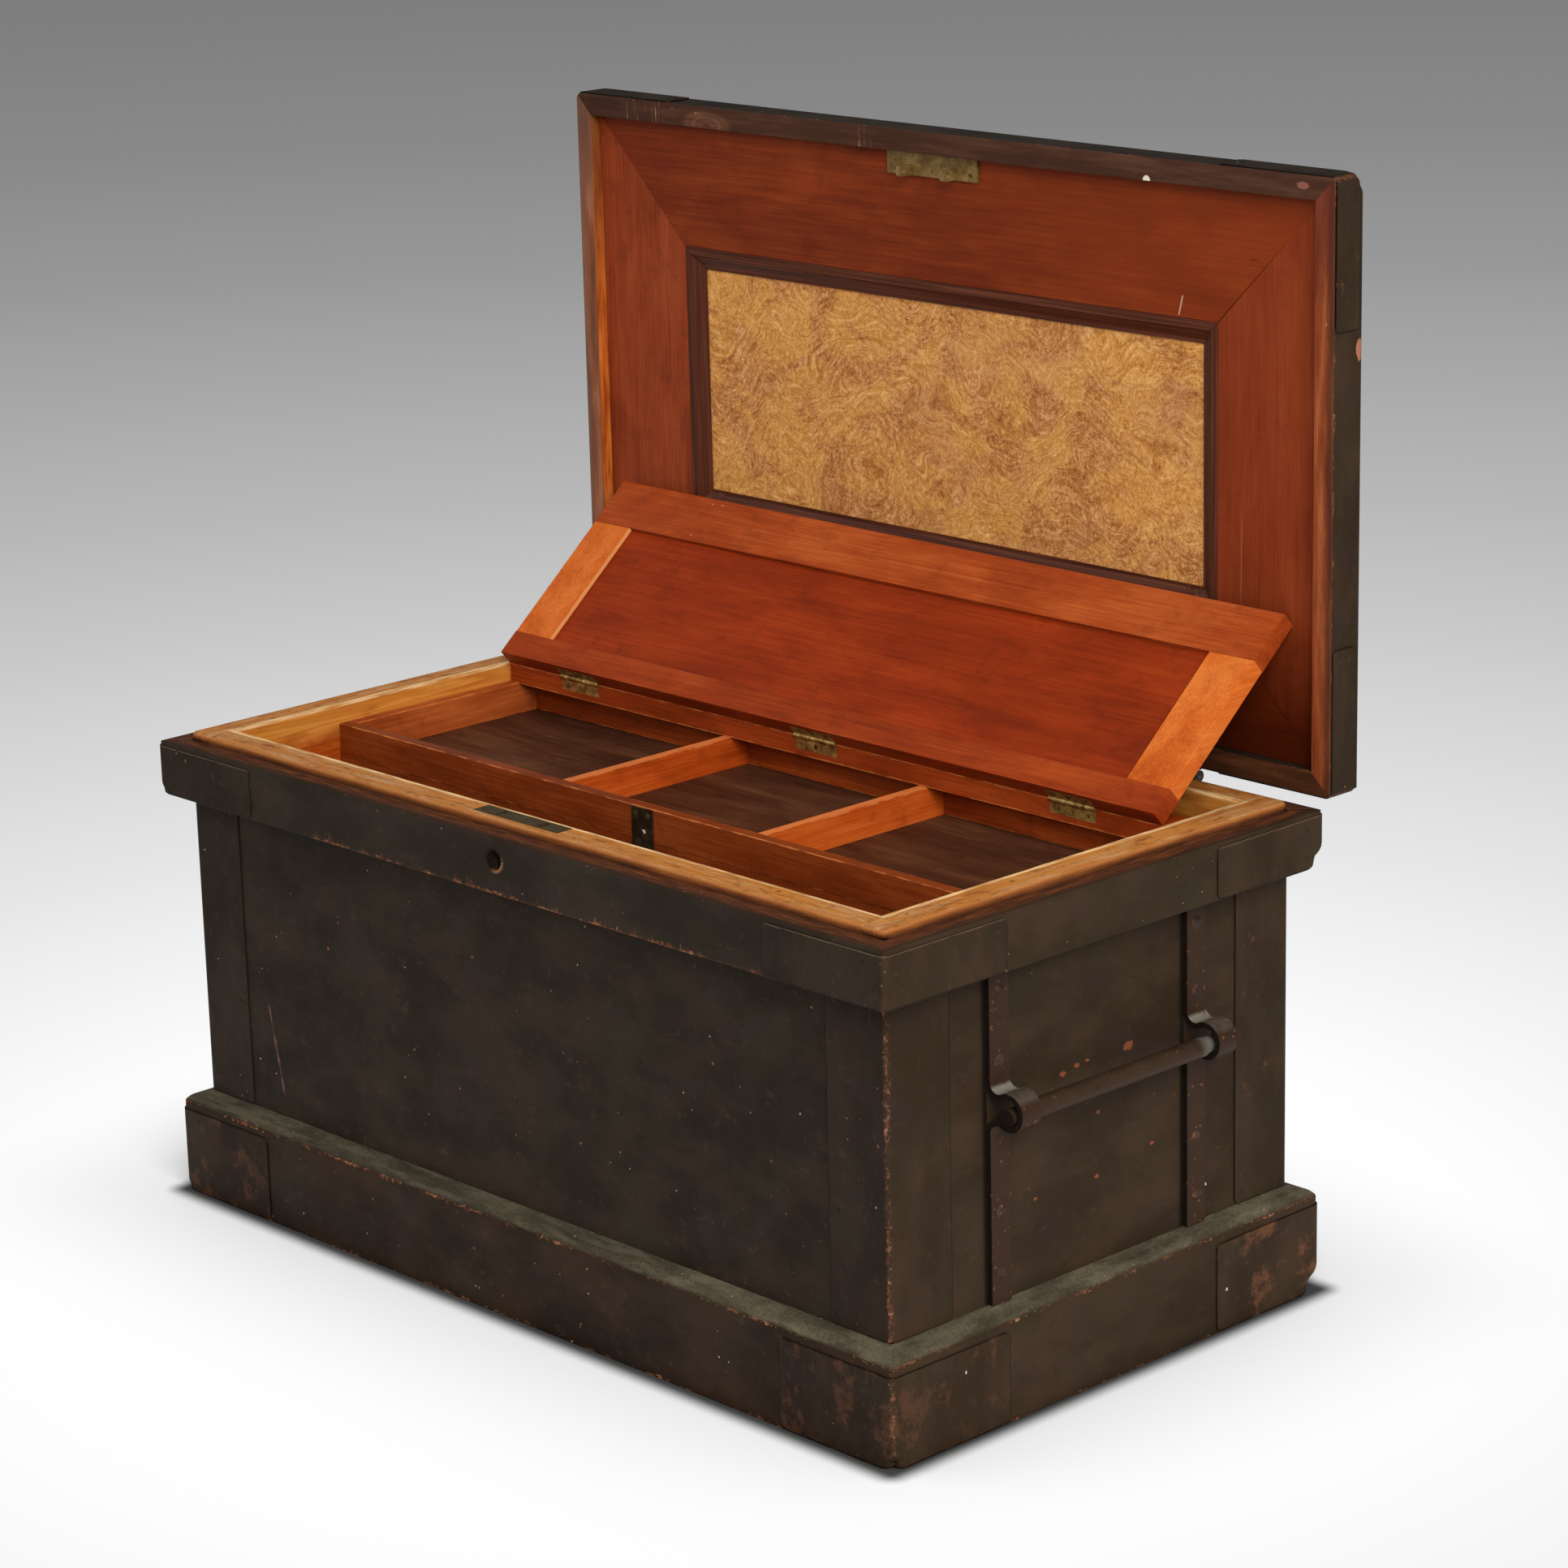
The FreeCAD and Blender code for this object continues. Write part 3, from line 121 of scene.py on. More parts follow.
class Value:
    """A socket that carries a number or a colour, with arithmetic for numbers."""

    def __init__(self, graph: "Network", socket: bpy.types.NodeSocket) -> None:
        """Wraps a socket of that tree."""
        self.graph = graph
        self.socket = socket

    def join(self, operation: str, *others: Number) -> "Value":
        """Adds a Math node whose first input is this value.

        Args:
            operation: The Math node's operation.
            others: Its other inputs.

        Returns:
            The node's result.
        """
        inputs = dict(enumerate((self, *others)))
        made = self.graph.node("ShaderNodeMath", {"operation": operation}, inputs)
        return Value(self.graph, made.outputs[0])

    def swapped(self, operation: str, other: float) -> "Value":
        """The same, with a plain number before this value."""
        made = self.graph.node("ShaderNodeMath", {"operation": operation}, {0: other, 1: self})
        return Value(self.graph, made.outputs[0])

    def __add__(self, other: Number) -> "Value":
        """This plus other."""
        return self.join("ADD", other)

    __radd__ = __add__

    def __sub__(self, other: Number) -> "Value":
        """This less other."""
        return self.join("SUBTRACT", other)

    def __rsub__(self, other: float) -> "Value":
        """Other less this."""
        return self.swapped("SUBTRACT", other)

    def __mul__(self, other: Number) -> "Value":
        """This times other."""
        return self.join("MULTIPLY", other)

    __rmul__ = __mul__

    def __truediv__(self, other: Number) -> "Value":
        """This over other."""
        return self.join("DIVIDE", other)

    def __abs__(self) -> "Value":
        """This without its sign."""
        return self.join("ABSOLUTE")

    def least(self, other: Number) -> "Value":
        """The lesser of the two."""
        return self.join("MINIMUM", other)

    def most(self, other: Number) -> "Value":
        """The greater of the two."""
        return self.join("MAXIMUM", other)

    def wave(self) -> "Value":
        """The sine of this."""
        return self.join("SINE")

    def rise(self, low: float, high: float) -> "Value":
        """A smooth step from 0 at low to 1 at high; high may be below low.

        Args:
            low: Where the step starts.
            high: Where it ends.

        Returns:
            The step.
        """
        turned = high < low
        ends = {"From Min": min(low, high), "From Max": max(low, high)}
        ends["To Min"], ends["To Max"] = (1.0, 0.0) if turned else (0.0, 1.0)
        settings = {"interpolation_type": "SMOOTHSTEP"}
        made = self.graph.node("ShaderNodeMapRange", settings, {"Value": self, **ends})
        return Value(self.graph, made.outputs[0])


@dataclass(frozen=True)
class Surface:
    """What one layer of a finish gives a shader. Height is in millimetres."""

    colour: Value
    roughness: Number
    metallic: Number = 0.0
    height: Number = 0.0

    def covered(self, top: "Surface", cover: Value) -> "Surface":
        """This layer with another over it where cover is 1.

        Args:
            top: The layer that goes over this one.
            cover: How much of it shows, 0 to 1.

        Returns:
            The two together.
        """
        graph = self.colour.graph
        return Surface(
            graph.mix(cover, self.colour, top.colour),
            graph.between(cover, self.roughness, top.roughness),
            graph.between(cover, self.metallic, top.metallic),
            graph.between(cover, self.height, top.height),
        )

    def tinted(self, cover: Number, colour: Triple, way: str = "MIX") -> "Surface":
        """This layer with its colour alone changed.

        Args:
            cover: How much it changes, 0 to 1.
            colour: The colour that it goes to.
            way: How that goes over it.

        Returns:
            The changed layer.
        """
        mixed = self.colour.graph.mix(cover, self.colour, srgb(*colour), way)
        return replace(self, colour=mixed)

    def coated(self, *coats: Coat) -> "Surface":
        """This layer with coats of colour over it, one after another."""
        return replace(self, colour=self.colour.graph.coats(self.colour, *coats))


class Network:
    """A node tree that is written as expressions."""

    def __init__(self, tree: bpy.types.NodeTree) -> None:
        """Starts from a tree, and empties it."""
        self.tree = tree
        self.tree.nodes.clear()

    def node(self, kind: str, settings: dict | None = None,
             inputs: dict | None = None) -> bpy.types.Node:
        """Adds one node.

        Args:
            kind: The node's type.
            settings: Its own settings, stops for a ramp, or how many rows a switch has.
            inputs: Values or links of its sockets, by name or number.

        Returns:
            The node.
        """
        made = self.tree.nodes.new(kind)
        special = {"stops": self.set_stops, "rows": self.set_rows}
        for name, value in (settings or {}).items():
            if name in special:
                special[name](made, value)
            else:
                setattr(made, name, value)
        for name, value in (inputs or {}).items():
            socket = made.inputs[name]
            if isinstance(value, Value):
                self.tree.links.new(value.socket, socket)
            elif isinstance(value, bpy.types.NodeSocket):
                self.tree.links.new(value, socket)
            else:
                socket.default_value = value
        return made

    @staticmethod
    def set_stops(ramp: bpy.types.Node, stops: list) -> None:
        """Gives a ramp its places and colours.

        Args:
            ramp: The ramp.
            stops: Its places, each with a colour of 0 to 255 parts.
        """
        elements = ramp.color_ramp.elements
        while len(elements) < len(stops):
            elements.new(0.5)
        for element, (place, colour) in zip(elements, stops):
            element.position = place
            element.color = srgb(*colour)

    @staticmethod
    def set_rows(switch: bpy.types.Node, count: int) -> None:
        """Gives an index switch that many rows."""
        while len(switch.index_switch_items) < count:
            switch.index_switch_items.new()

    def split(self, vector: object) -> tuple[Value, Value, Value]:
        """The three parts of a vector."""
        made = self.node("ShaderNodeSeparateXYZ", inputs={"Vector": vector})
        return tuple(Value(self, out) for out in made.outputs)

    def gather(self, *parts: Number) -> bpy.types.NodeSocket:
        """A vector of three parts."""
        return self.node("ShaderNodeCombineXYZ", inputs=dict(enumerate(parts))).outputs[0]

    def vector(self, operation: str, first: object, second: object) -> bpy.types.NodeSocket:
        """Vector arithmetic.

        Args:
            operation: The Vector Math node's operation.
            first: Its first input.
            second: Its second input.

        Returns:
            The vector, or the number for a length or a distance.
        """
        made = self.node("ShaderNodeVectorMath", {"operation": operation}, {0: first, 1: second})
        return made.outputs["Value" if operation in ("LENGTH", "DISTANCE") else "Vector"]

    def length(self, vector: object) -> Value:
        """How long a vector is."""
        return Value(self, self.vector("LENGTH", vector, (0, 0, 0)))


class Graph(Network):
    """A material's node tree, with the object's own place in millimetres."""

    noise_steps: Triple = (7.31, 3.17, 5.93)
    cell_steps: Triple = (3.71, 8.13, 6.29)

    def __init__(self, name: str) -> None:
        """Starts an empty material.

        Args:
            name: The material's name.
        """
        self.material = bpy.data.materials.new(name)
        self.material.use_nodes = True
        super().__init__(self.material.node_tree)
        where = self.node("ShaderNodeTexCoord")
        self.place = self.vector("MULTIPLY", where.outputs["Object"], (1 / MM,) * 3)
        self.x, self.y, self.z = self.split(self.place)
        self.facing = self.split(where.outputs["Normal"])

    def turned(self, angle: Triple, centre: Triple = (0, 0, 0)) -> bpy.types.NodeSocket:
        """The place seen from a frame turned about a centre.

        Args:
            angle: Turn about X, Y and Z in degrees.
            centre: The point that the turn leaves where it is.

        Returns:
            The turned place.
        """
        moved = self.vector("SUBTRACT", self.place, centre)
        angles = tuple(math.radians(a) for a in angle)
        made = self.node("ShaderNodeMapping", inputs={"Vector": moved, "Rotation": angles})
        return made.outputs[0]

    def lattice(self, size: Triple | float, seed: float, steps: Triple,
                at: object = None) -> bpy.types.NodeSocket:
        """The place counted in cells of a size, and moved to a seed's own part of it.

        Args:
            size: The cells' size on X, Y and Z.
            seed: Which of the many patterns it is.
            steps: How far one more in the seed moves it on X, Y and Z.
            at: The place that is read, if not the object's own.

        Returns:
            The place in cells.
        """
        sizes = size if isinstance(size, tuple) else (size,) * 3
        scaled = self.vector("DIVIDE", at or self.place, sizes)
        return self.vector("ADD", scaled, tuple(seed * step for step in steps))

    def noise(self, size: Triple | float, seed: float = 0.0, detail: float = 3.0,
              rough: float = 0.55, bend: float = 0.0, at: object = None) -> Value:
        """Smooth random patches about as large as size.

        Args:
            size: Their size on X, Y and Z.
            seed: Which of the many patterns it is.
            detail: How many finer layers it has.
            rough: How strong those are.
            bend: How much it is distorted.
            at: The place that is read, if not the object's own.

        Returns:
            A value from about 0.2 to 0.8, 0.5 on average.
        """
        inputs = {"Vector": self.lattice(size, seed, self.noise_steps, at), "Scale": 1.0,
                  "Detail": detail, "Roughness": rough, "Distortion": bend}
        return Value(self, self.node("ShaderNodeTexNoise", inputs=inputs).outputs[0])

    def pushed(self, size: float, reach: float, seed: float = 0.0) -> bpy.types.NodeSocket:
        """The place, pushed about at random.

        Args:
            size: How large the pushed patches are.
            reach: How far they are pushed at most.
            seed: Which of the many patterns it is.

        Returns:
            The pushed place.
        """
        made = self.node("ShaderNodeTexNoise", inputs={
            "Vector": self.lattice(size, seed, (1, 1, 1)), "Scale": 1.0, "Detail": 2.0})
        push = self.vector("SUBTRACT", made.outputs["Color"], (0.5,) * 3)
        return self.vector("ADD", self.place, self.vector("MULTIPLY", push, (2 * reach,) * 3))

    def cells(self, size: Triple | float, seed: float = 0.0,
              at: object = None) -> tuple[Value, Value]:
        """Random cells about as large as size.

        Args:
            size: Their size on X, Y and Z.
            seed: Which of the many patterns it is.
            at: The place that is read, if not the object's own.

        Returns:
            The distance from the cell's middle in cells, and a number of its own.
        """
        made = self.node("ShaderNodeTexVoronoi", inputs={
            "Vector": self.lattice(size, seed, self.cell_steps, at), "Scale": 1.0})
        own, _, _ = self.split(made.outputs["Color"])
        return Value(self, made.outputs["Distance"]), own

    def specks(self, size: float, share: float, radius: float, seed: float = 0.0) -> Value:
        """Small specks of uneven outline, one in a share of the cells.

        Args:
            size: How far apart the cells are.
            share: The share of cells that hold one.
            radius: The largest speck's radius.
            seed: Which of the many patterns it is.

        Returns:
            1 in a speck and 0 elsewhere.
        """
        distance, own = self.cells(size, seed, self.pushed(radius * 1.3, radius * 0.9, seed))
        reach = (own - (1 - share)) * (radius / size / share)
        return (reach - distance).rise(0.0, 0.2 * radius / size)

    def scratches(self, lean: Triple, length: float, width: float, share: float,
                  seed: float = 0.0) -> Value:
        """Thin scratches that lean one way.

        Args:
            lean: Their lean in degrees about each axis, from upright.
            length: Their length.
            width: Their width.
            share: The share of cells that hold one.
            seed: Which of the many patterns it is.

        Returns:
            1 in a scratch and 0 elsewhere.
        """
        cell = (width * 6, width * 6, length * 6)
        distance, own = self.cells(cell, seed, self.turned(lean))
        reach = (own - (1 - share)) * (0.085 / share)
        return (reach - distance).rise(0.0, 0.03)

    def mix(self, factor: Number, low: object, high: object, way: str = "MIX") -> Value:
        """A colour between two.

        Args:
            factor: 0 for the first and 1 for the second.
            low: The first colour.
            high: The second colour.
            way: How the second goes over the first.

        Returns:
            The mixed colour.
        """
        settings = {"data_type": "RGBA", "blend_type": way}
        made = self.node("ShaderNodeMix", settings, {0: factor, 6: low, 7: high})
        return Value(self, made.outputs[2])

    def coats(self, colour: Value, *coats: Coat) -> Value:
        """A colour with others over it, one after another.

        Args:
            colour: The colour at the bottom.
            coats: How much each one covers, 0 to 1, and its colour.

        Returns:
            The colour that shows.
        """
        for cover, shade in coats:
            colour = self.mix(cover, colour, srgb(*shade))
        return colour

    def between(self, factor: Number, low: Number, high: Number) -> Number:
        """A number between two.

        Args:
            factor: 0 for the first and 1 for the second.
            low: The first number.
            high: The second number.

        Returns:
            The mixed number.
        """
        if not isinstance(low, Value) and not isinstance(high, Value) and low == high:
            return low
        made = self.node("ShaderNodeMix", {"data_type": "FLOAT"}, {0: factor, 2: low, 3: high})
        return Value(self, made.outputs[0])

    def ramp(self, value: Value, stops: list) -> Value:
        """Colours along a value.

        Args:
            value: What is looked up.
            stops: Places and colours.

        Returns:
            The colour.
        """
        made = self.node("ShaderNodeValToRGB", {"stops": stops}, {"Fac": value})
        return Value(self, made.outputs[0])

    def near(self, place: Triple, reach: Triple, soft: float = 1.0) -> Value:
        """1 at a place, falling to 0 at its reach on each axis.

        Args:
            place: Its middle.
            reach: Its half sizes.
            soft: The share of the reach over which it falls.

        Returns:
            The spot.
        """
        away = self.vector("DIVIDE", self.vector("SUBTRACT", self.place, place), reach)
        return self.length(away).rise(1.0, 1.0 - soft)

    def finish(self, surface: Surface, shine: float = 0.06) -> bpy.types.Material:
        """Closes the tree with its shader.

        Args:
            surface: What the layers give.
            shine: The specular level.

        Returns:
            The finished material.
        """
        bump = self.node("ShaderNodeBump", inputs={"Height": surface.height, "Distance": MM})
        inputs = {
            "Base Color": surface.colour,
            "Roughness": surface.roughness,
            "Metallic": surface.metallic,
            "Normal": bump.outputs[0],
            "Specular IOR Level": shine,
        }
        shader = self.node("ShaderNodeBsdfPrincipled", inputs=inputs)
        self.node("ShaderNodeOutputMaterial", inputs={"Surface": shader.outputs[0]})
        return self.material


class Maker(Network):
    """A Geometry Nodes tree with named inputs, run once for each set of points."""

    def __init__(self, name: str, sizes: dict[str, float]) -> None:
        """Starts a tree of that name with those sizes as its inputs.

        Args:
            name: The tree's name.
            sizes: Its number inputs and their usual values.
        """
        super().__init__(bpy.data.node_groups.new(name, "GeometryNodeTree"))
        sockets = self.tree.interface
        sockets.new_socket("Geometry", in_out="OUTPUT", socket_type="NodeSocketGeometry")
        sockets.new_socket("Geometry", in_out="INPUT", socket_type="NodeSocketGeometry")
        for key, value in sizes.items():
            whole = isinstance(value, int)
            kind = "NodeSocketInt" if whole else "NodeSocketFloat"
            sockets.new_socket(key, in_out="INPUT", socket_type=kind).default_value = value
        sockets.new_socket("Material", in_out="INPUT", socket_type="NodeSocketMaterial")
        self.given = self.node("NodeGroupInput")

    def size(self, name: str) -> Value:
        """One of the tree's inputs."""
        return Value(self, self.given.outputs[name])

    def pick(self, choices: list) -> bpy.types.NodeSocket:
        """The number in that row of a list, by the point's own index.

        Args:
            choices: The numbers, plain or as values.

        Returns:
            The number for each point.
        """
        index = self.node("GeometryNodeInputIndex").outputs[0]
        rows = {str(row): value for row, value in enumerate(choices)}
        made = self.node("GeometryNodeIndexSwitch", {"data_type": "FLOAT", "rows": len(rows)},
                         {"Index": index, **rows})
        return made.outputs[0]

    def lathe(self, heights: list, radii: list, sides: Value) -> bpy.types.NodeSocket:
        """A turned shape on the Z axis.

        Args:
            heights: Heights up the axis, foot first.
            radii: The radius at each of them.
            sides: How many flats it has round it.

        Returns:
            The closed mesh.
        """
        line = self.node("GeometryNodeCurvePrimitiveLine")
        rows = self.node("GeometryNodeResampleCurve", inputs={
            "Curve": line.outputs[0], "Count": len(heights)})
        placed = self.node("GeometryNodeSetPosition", inputs={
            "Geometry": rows.outputs[0], "Position": self.gather(0.0, 0.0, self.pick(heights))})
        ring = self.node("GeometryNodeCurvePrimitiveCircle", inputs={
            "Resolution": sides, "Radius": 1.0})
        return self.node("GeometryNodeCurveToMesh", inputs={
            "Curve": placed.outputs[0], "Profile Curve": ring.outputs[0],
            "Scale": self.pick(radii), "Fill Caps": True}).outputs[0]

    def close(self, geometry: bpy.types.NodeSocket) -> None:
        """Ends the tree: real meshes with their material.

        Args:
            geometry: What the tree has made.
        """
        real = self.node("GeometryNodeRealizeInstances", inputs={"Geometry": geometry})
        dressed = self.node("GeometryNodeSetMaterial", inputs={
            "Geometry": real.outputs[0], "Material": self.size("Material")})
        self.node("NodeGroupOutput", inputs={0: dressed.outputs[0]})

    def run(self, points: bpy.types.Mesh, values: dict[str, object]) -> bpy.types.Mesh:
        """Runs the tree on a mesh of points.

        Args:
            points: The mesh that it starts from.
            values: What its named inputs are set to.

        Returns:
            The plain mesh that it makes.
        """
        carrier = linked(self.tree.name, points)
        modifier = carrier.modifiers.new(self.tree.name, "NODES")
        modifier.node_group = self.tree
        for item in self.tree.interface.items_tree:
            if item.item_type == "SOCKET" and item.in_out == "INPUT" and item.name in values:
                modifier[item.identifier] = values[item.name]
        shown = carrier.evaluated_get(bpy.context.evaluated_depsgraph_get())
        made = bpy.data.meshes.new_from_object(shown)
        carrier.modifiers.remove(modifier)
        bpy.data.objects.remove(carrier)
        return made


# ---------------------------------------------------------------- places and edges


@dataclass(frozen=True)
class Extent:
    """A piece's lowest and highest corners in millimetres."""

    low: Vector
    high: Vector

    @staticmethod
    def of(node: str) -> "Extent":
        """The extent of a node of the frame."""
        low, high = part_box(node)
        return Extent(low / MM, high / MM)

    @staticmethod
    def walls() -> "Extent":
        """The extent of the chest's four walls."""
        return Extent(Extent.of("carcass_front").low, Extent.of("carcass_right").high)

    def edge(self, graph: Graph) -> Value:
        """How far a point on a box's face is from the nearest arris.

        Args:
            graph: The tree that the sum goes into.

        Returns:
            The distance in millimetres.
        """
        gaps = [
            (part - self.low[i]).least(self.high[i] - part)
            for i, part in enumerate((graph.x, graph.y, graph.z))
        ]
        first, second, third = gaps
        return first.least(second).most(first.most(second).least(third))


@dataclass(frozen=True)
class Scuff:
    """A place where the paint is rubbed more than elsewhere."""

    place: Triple
    reach: Triple
    amount: float = 1.0


@dataclass(frozen=True)
class Knock:
    """A corner of the chest that is worn round."""

    corner: Triple
    outward: Triple
    radius: float

    def apply(self, mesh: bmesh.types.BMesh, cuts: int = 6, near: float = 3.0) -> None:
        """Draws the mesh in round the corner.

        Args:
            mesh: The mesh, in metres.
            cuts: How many cuts on each axis give it faces to bend.
            near: How many radii from the corner the cuts reach.
        """
        signs = Vector(self.outward)
        corner = Vector(self.corner) * MM
        radius = self.radius * MM

        def depths(point: Vector) -> Vector:
            """How deep a point is below the three faces that meet there."""
            return Vector([(corner[i] - point[i]) * signs[i] for i in range(3)])

        for axis in range(3):
            normal = Vector([float(i == axis) for i in range(3)])
            for step in range(1, cuts + 1):
                close = [vert for vert in mesh.verts if max(depths(vert.co)) < radius * near]
                geometry = close + [e for v in close for e in v.link_edges]
                geometry += [f for v in close for f in v.link_faces]
                geometry = list(dict.fromkeys(geometry))
                place = corner - normal * signs[axis] * radius * step / cuts
                bmesh.ops.bisect_plane(mesh, geom=geometry, dist=SAME, plane_co=place,
                                       plane_no=normal)
        for vert in mesh.verts:
            inward = Vector([radius - depth for depth in depths(vert.co)])
            if min(inward) <= 0:
                continue
            share = min(1.0, min(inward) / radius)
            ease = share * share * (3 - 2 * share)
            drawn = inward * (1 - max(inward) / inward.length) * ease
            vert.co -= Vector([drawn[i] * signs[i] for i in range(3)])


# ---------------------------------------------------------------- finishes


@dataclass(frozen=True)
class OldPaint:
    """Black-brown oil paint, many times rubbed and knocked."""

    grain: Axis = Axis.X
    seed: float = 0.0
    dark: Triple = (34, 26, 18)
    light: Triple = (48, 37, 27)
    end_dark: Triple = (51, 37, 24)
    end_light: Triple = (64, 48, 33)
    olive: Triple = (47, 43, 31)
    plum: Triple = (49, 38, 36)
    soot: Triple = (31, 24, 18)
    thin: Triple = (70, 57, 45)
    ruddy: Triple = (98, 66, 46)
    fleck: Triple = (132, 84, 54)
    pale: Triple = (170, 154, 132)
    chip: Triple = (205, 196, 180)
    scratch: Triple = (136, 100, 74)

    def lay(self, graph: Graph) -> Surface:
        """The paint where it is whole, browner and lighter on the chest's ends, partly painted
        light.

        Args:
            graph: The tree that it goes into.

        Returns:
            The painted layer.
        """
        along, seed = self.grain.along, self.seed
        tone = graph.noise(along(110, 55), seed, 5, 0.6).rise(0.36, 0.66)
        # The ends face along X and get browner, lighter tones: partly own colour, partly painted
        # light.
        ends = abs(graph.facing[0]).rise(0.35, 0.65)
        streak = graph.noise(along(60, 1.4), seed + 1, 3)
        grime = graph.noise(along(9, 5), seed + 5, 6, 0.72)
        worn = graph.noise(along(13, 9), seed + 15, 6, 0.75)
        smear = graph.noise(along(9, 5), seed + 11, 6, 0.75)
        chips = graph.specks(40.0, 0.4, 1.8, seed + 12)
        lines = graph.scratches((14, 22, 0), 11, 0.6, 0.3, seed + 4)
        lines = lines.most(graph.scratches((68, -30, 20), 8, 0.55, 0.26, seed + 14))
        front = graph.mix(tone, srgb(*self.dark), srgb(*self.light))
        brown = graph.mix(tone, srgb(*self.end_dark), srgb(*self.end_light))
        colour = graph.coats(
            graph.mix(ends * 0.85, front, brown),
            (graph.noise(80.0, seed + 3, 4).rise(0.48, 0.7) * 0.4, self.olive),
            (graph.noise(42.0, seed + 10, 4).rise(0.5, 0.7) * 0.35, self.plum),
            (grime.rise(0.56, 0.74) * 0.45, self.soot),
            (worn.rise(0.56, 0.7) * 0.4, self.thin),
            (smear.rise(0.67, 0.73) * 0.5, self.ruddy),
            (graph.specks(16.0, 0.4, 1.5, seed + 2) * 0.75, self.fleck),
            (graph.specks(11.0, 0.4, 1.0, seed + 7) * 0.8, self.pale),
            (chips, self.chip),
            (lines * 0.7, self.scratch),
        )
        rough = graph.noise(22.0, seed + 6, 4) * 0.3 + 0.42
        height = (streak - 0.5) * 0.05 + (grime - 0.5) * 0.1 + chips * 0.08 - lines * 0.05
        return Surface(colour, rough, 0.0, height)

    def rubbed(self, graph: Graph, edge: Value, reach: float, amount: float = 0.2,
               scuffs: tuple[Scuff, ...] = ()) -> Value:
        """Where the paint has gone.

        Args:
            graph: The tree that the sum goes into.
            edge: The distance to the nearest arris.
            reach: How far wear comes in from it.
            amount: How much of the arris is bare.
            scuffs: Places with more wear.

        Returns:
            1 where it is bare and 0 where it is whole.
        """
        chips = graph.noise(self.grain.along(4.5, 2.4), self.seed + 8, 6, 0.8)
        patch = graph.noise(self.grain.along(30, 20), self.seed + 13, 4, 0.6)
        close = edge.rise(reach, 0.0)
        gone = (chips + close * amount + (patch - 0.52) * 0.7 * close - 0.72).rise(0.0, 0.03)
        for scuff in scuffs:
            here = graph.near(scuff.place, scuff.reach) * scuff.amount
            gone = gone.most((chips + here * 0.16 - 0.74).rise(0.0, 0.05))
        return gone


@dataclass(frozen=True)
class BareWood:
    """Old softwood where the paint has worn through."""

    grain: Axis = Axis.X
    seed: float = 0.0
    dark: Triple = (74, 44, 30)
    light: Triple = (158, 108, 76)
    mid: Triple = (118, 72, 46)
    pale: Triple = (186, 154, 126)

    def lay(self, graph: Graph) -> Surface:
        """The bare layer.

        Args:
            graph: The tree that it goes into.

        Returns:
            The layer.
        """
        streak = graph.noise(self.grain.along(30, 1.1), self.seed + 11, 4)
        cloud = graph.noise(8.0, self.seed + 12, 5, 0.7)
        stops = [(0.36, self.dark), (0.5, self.mid), (0.6, self.light), (0.68, self.pale)]
        colour = graph.ramp(streak * 0.4 + cloud * 0.6, stops)
        return Surface(colour, 0.62, 0.0, (streak - 0.5) * 0.2 - 0.1)


@dataclass(frozen=True)
class Rust:
    """Iron that has rusted where its paint has gone."""

    seed: float = 0.0

    def lay(self, graph: Graph) -> Surface:
        """The rusty layer.

        Args:
            graph: The tree that it goes into.

        Returns:
            The layer.
        """
        cloud = graph.noise(4.0, self.seed + 13, 6, 0.75)
        stops = [(0.36, (58, 38, 28)), (0.48, (88, 56, 40)), (0.58, (122, 80, 56)),
                 (0.68, (152, 120, 94))]
        return Surface(graph.ramp(cloud, stops), 0.78, 0.05, (cloud - 0.5) * 0.25 - 0.05)


@dataclass(frozen=True)
class Dust:
    """Grey dust that has lain for years, with crumbs of plaster in it."""

    grain: Axis = Axis.X
    seed: float = 0.0
    dark: Triple = (52, 47, 36)
    mid: Triple = (76, 69, 54)
    light: Triple = (108, 99, 78)
    shaded: Triple = (46, 43, 35)
    bank: Triple = (104, 95, 78)
    crumb: Triple = (205, 198, 180)

    def lay(self, graph: Graph) -> Surface:
        """The dusty layer.

        Args:
            graph: The tree that it goes into.

        Returns:
            The layer.
        """
        cloud = graph.noise(self.grain.along(60, 24), self.seed, 4, 0.6)
        fine = graph.noise(3.0, self.seed + 1, 5, 0.75)
        banks = graph.noise(self.grain.along(60, 9), self.seed + 4, 5, 0.7)
        crumbs = graph.specks(6.0, 0.4, 0.9, self.seed + 2)
        far = graph.x.rise(360, 440) * graph.y.rise(0, 200)
        stops = [(0.36, self.dark), (0.5, self.mid), (0.64, self.light)]
        layer = Surface(graph.ramp(cloud * 0.62 + fine * 0.38, stops), 0.95, 0.0, fine * 0.3)
        return layer.coated(
            (graph.x.rise(330, -150) * 0.5, self.shaded),
            (banks.rise(0.46, 0.62) * 0.4, self.bank),
            (crumbs * (far * 0.6 + 0.35), self.crumb),
        )

    def lies(self, graph: Graph, low: float = 0.42, high: float = 0.68) -> Value:
        """Where it lies: on what faces up, thinly at its rim.

        Args:
            graph: The tree that it goes into.
            low: The least upward part of the normal that holds some.
            high: The part that holds it all.

        Returns:
            How much there is, 0 to 1.
        """
        uneven = graph.noise(self.grain.along(16, 6), self.seed + 3, 5, 0.7) * 0.4 - 0.2
        return (graph.facing[2] + uneven).rise(low, high)


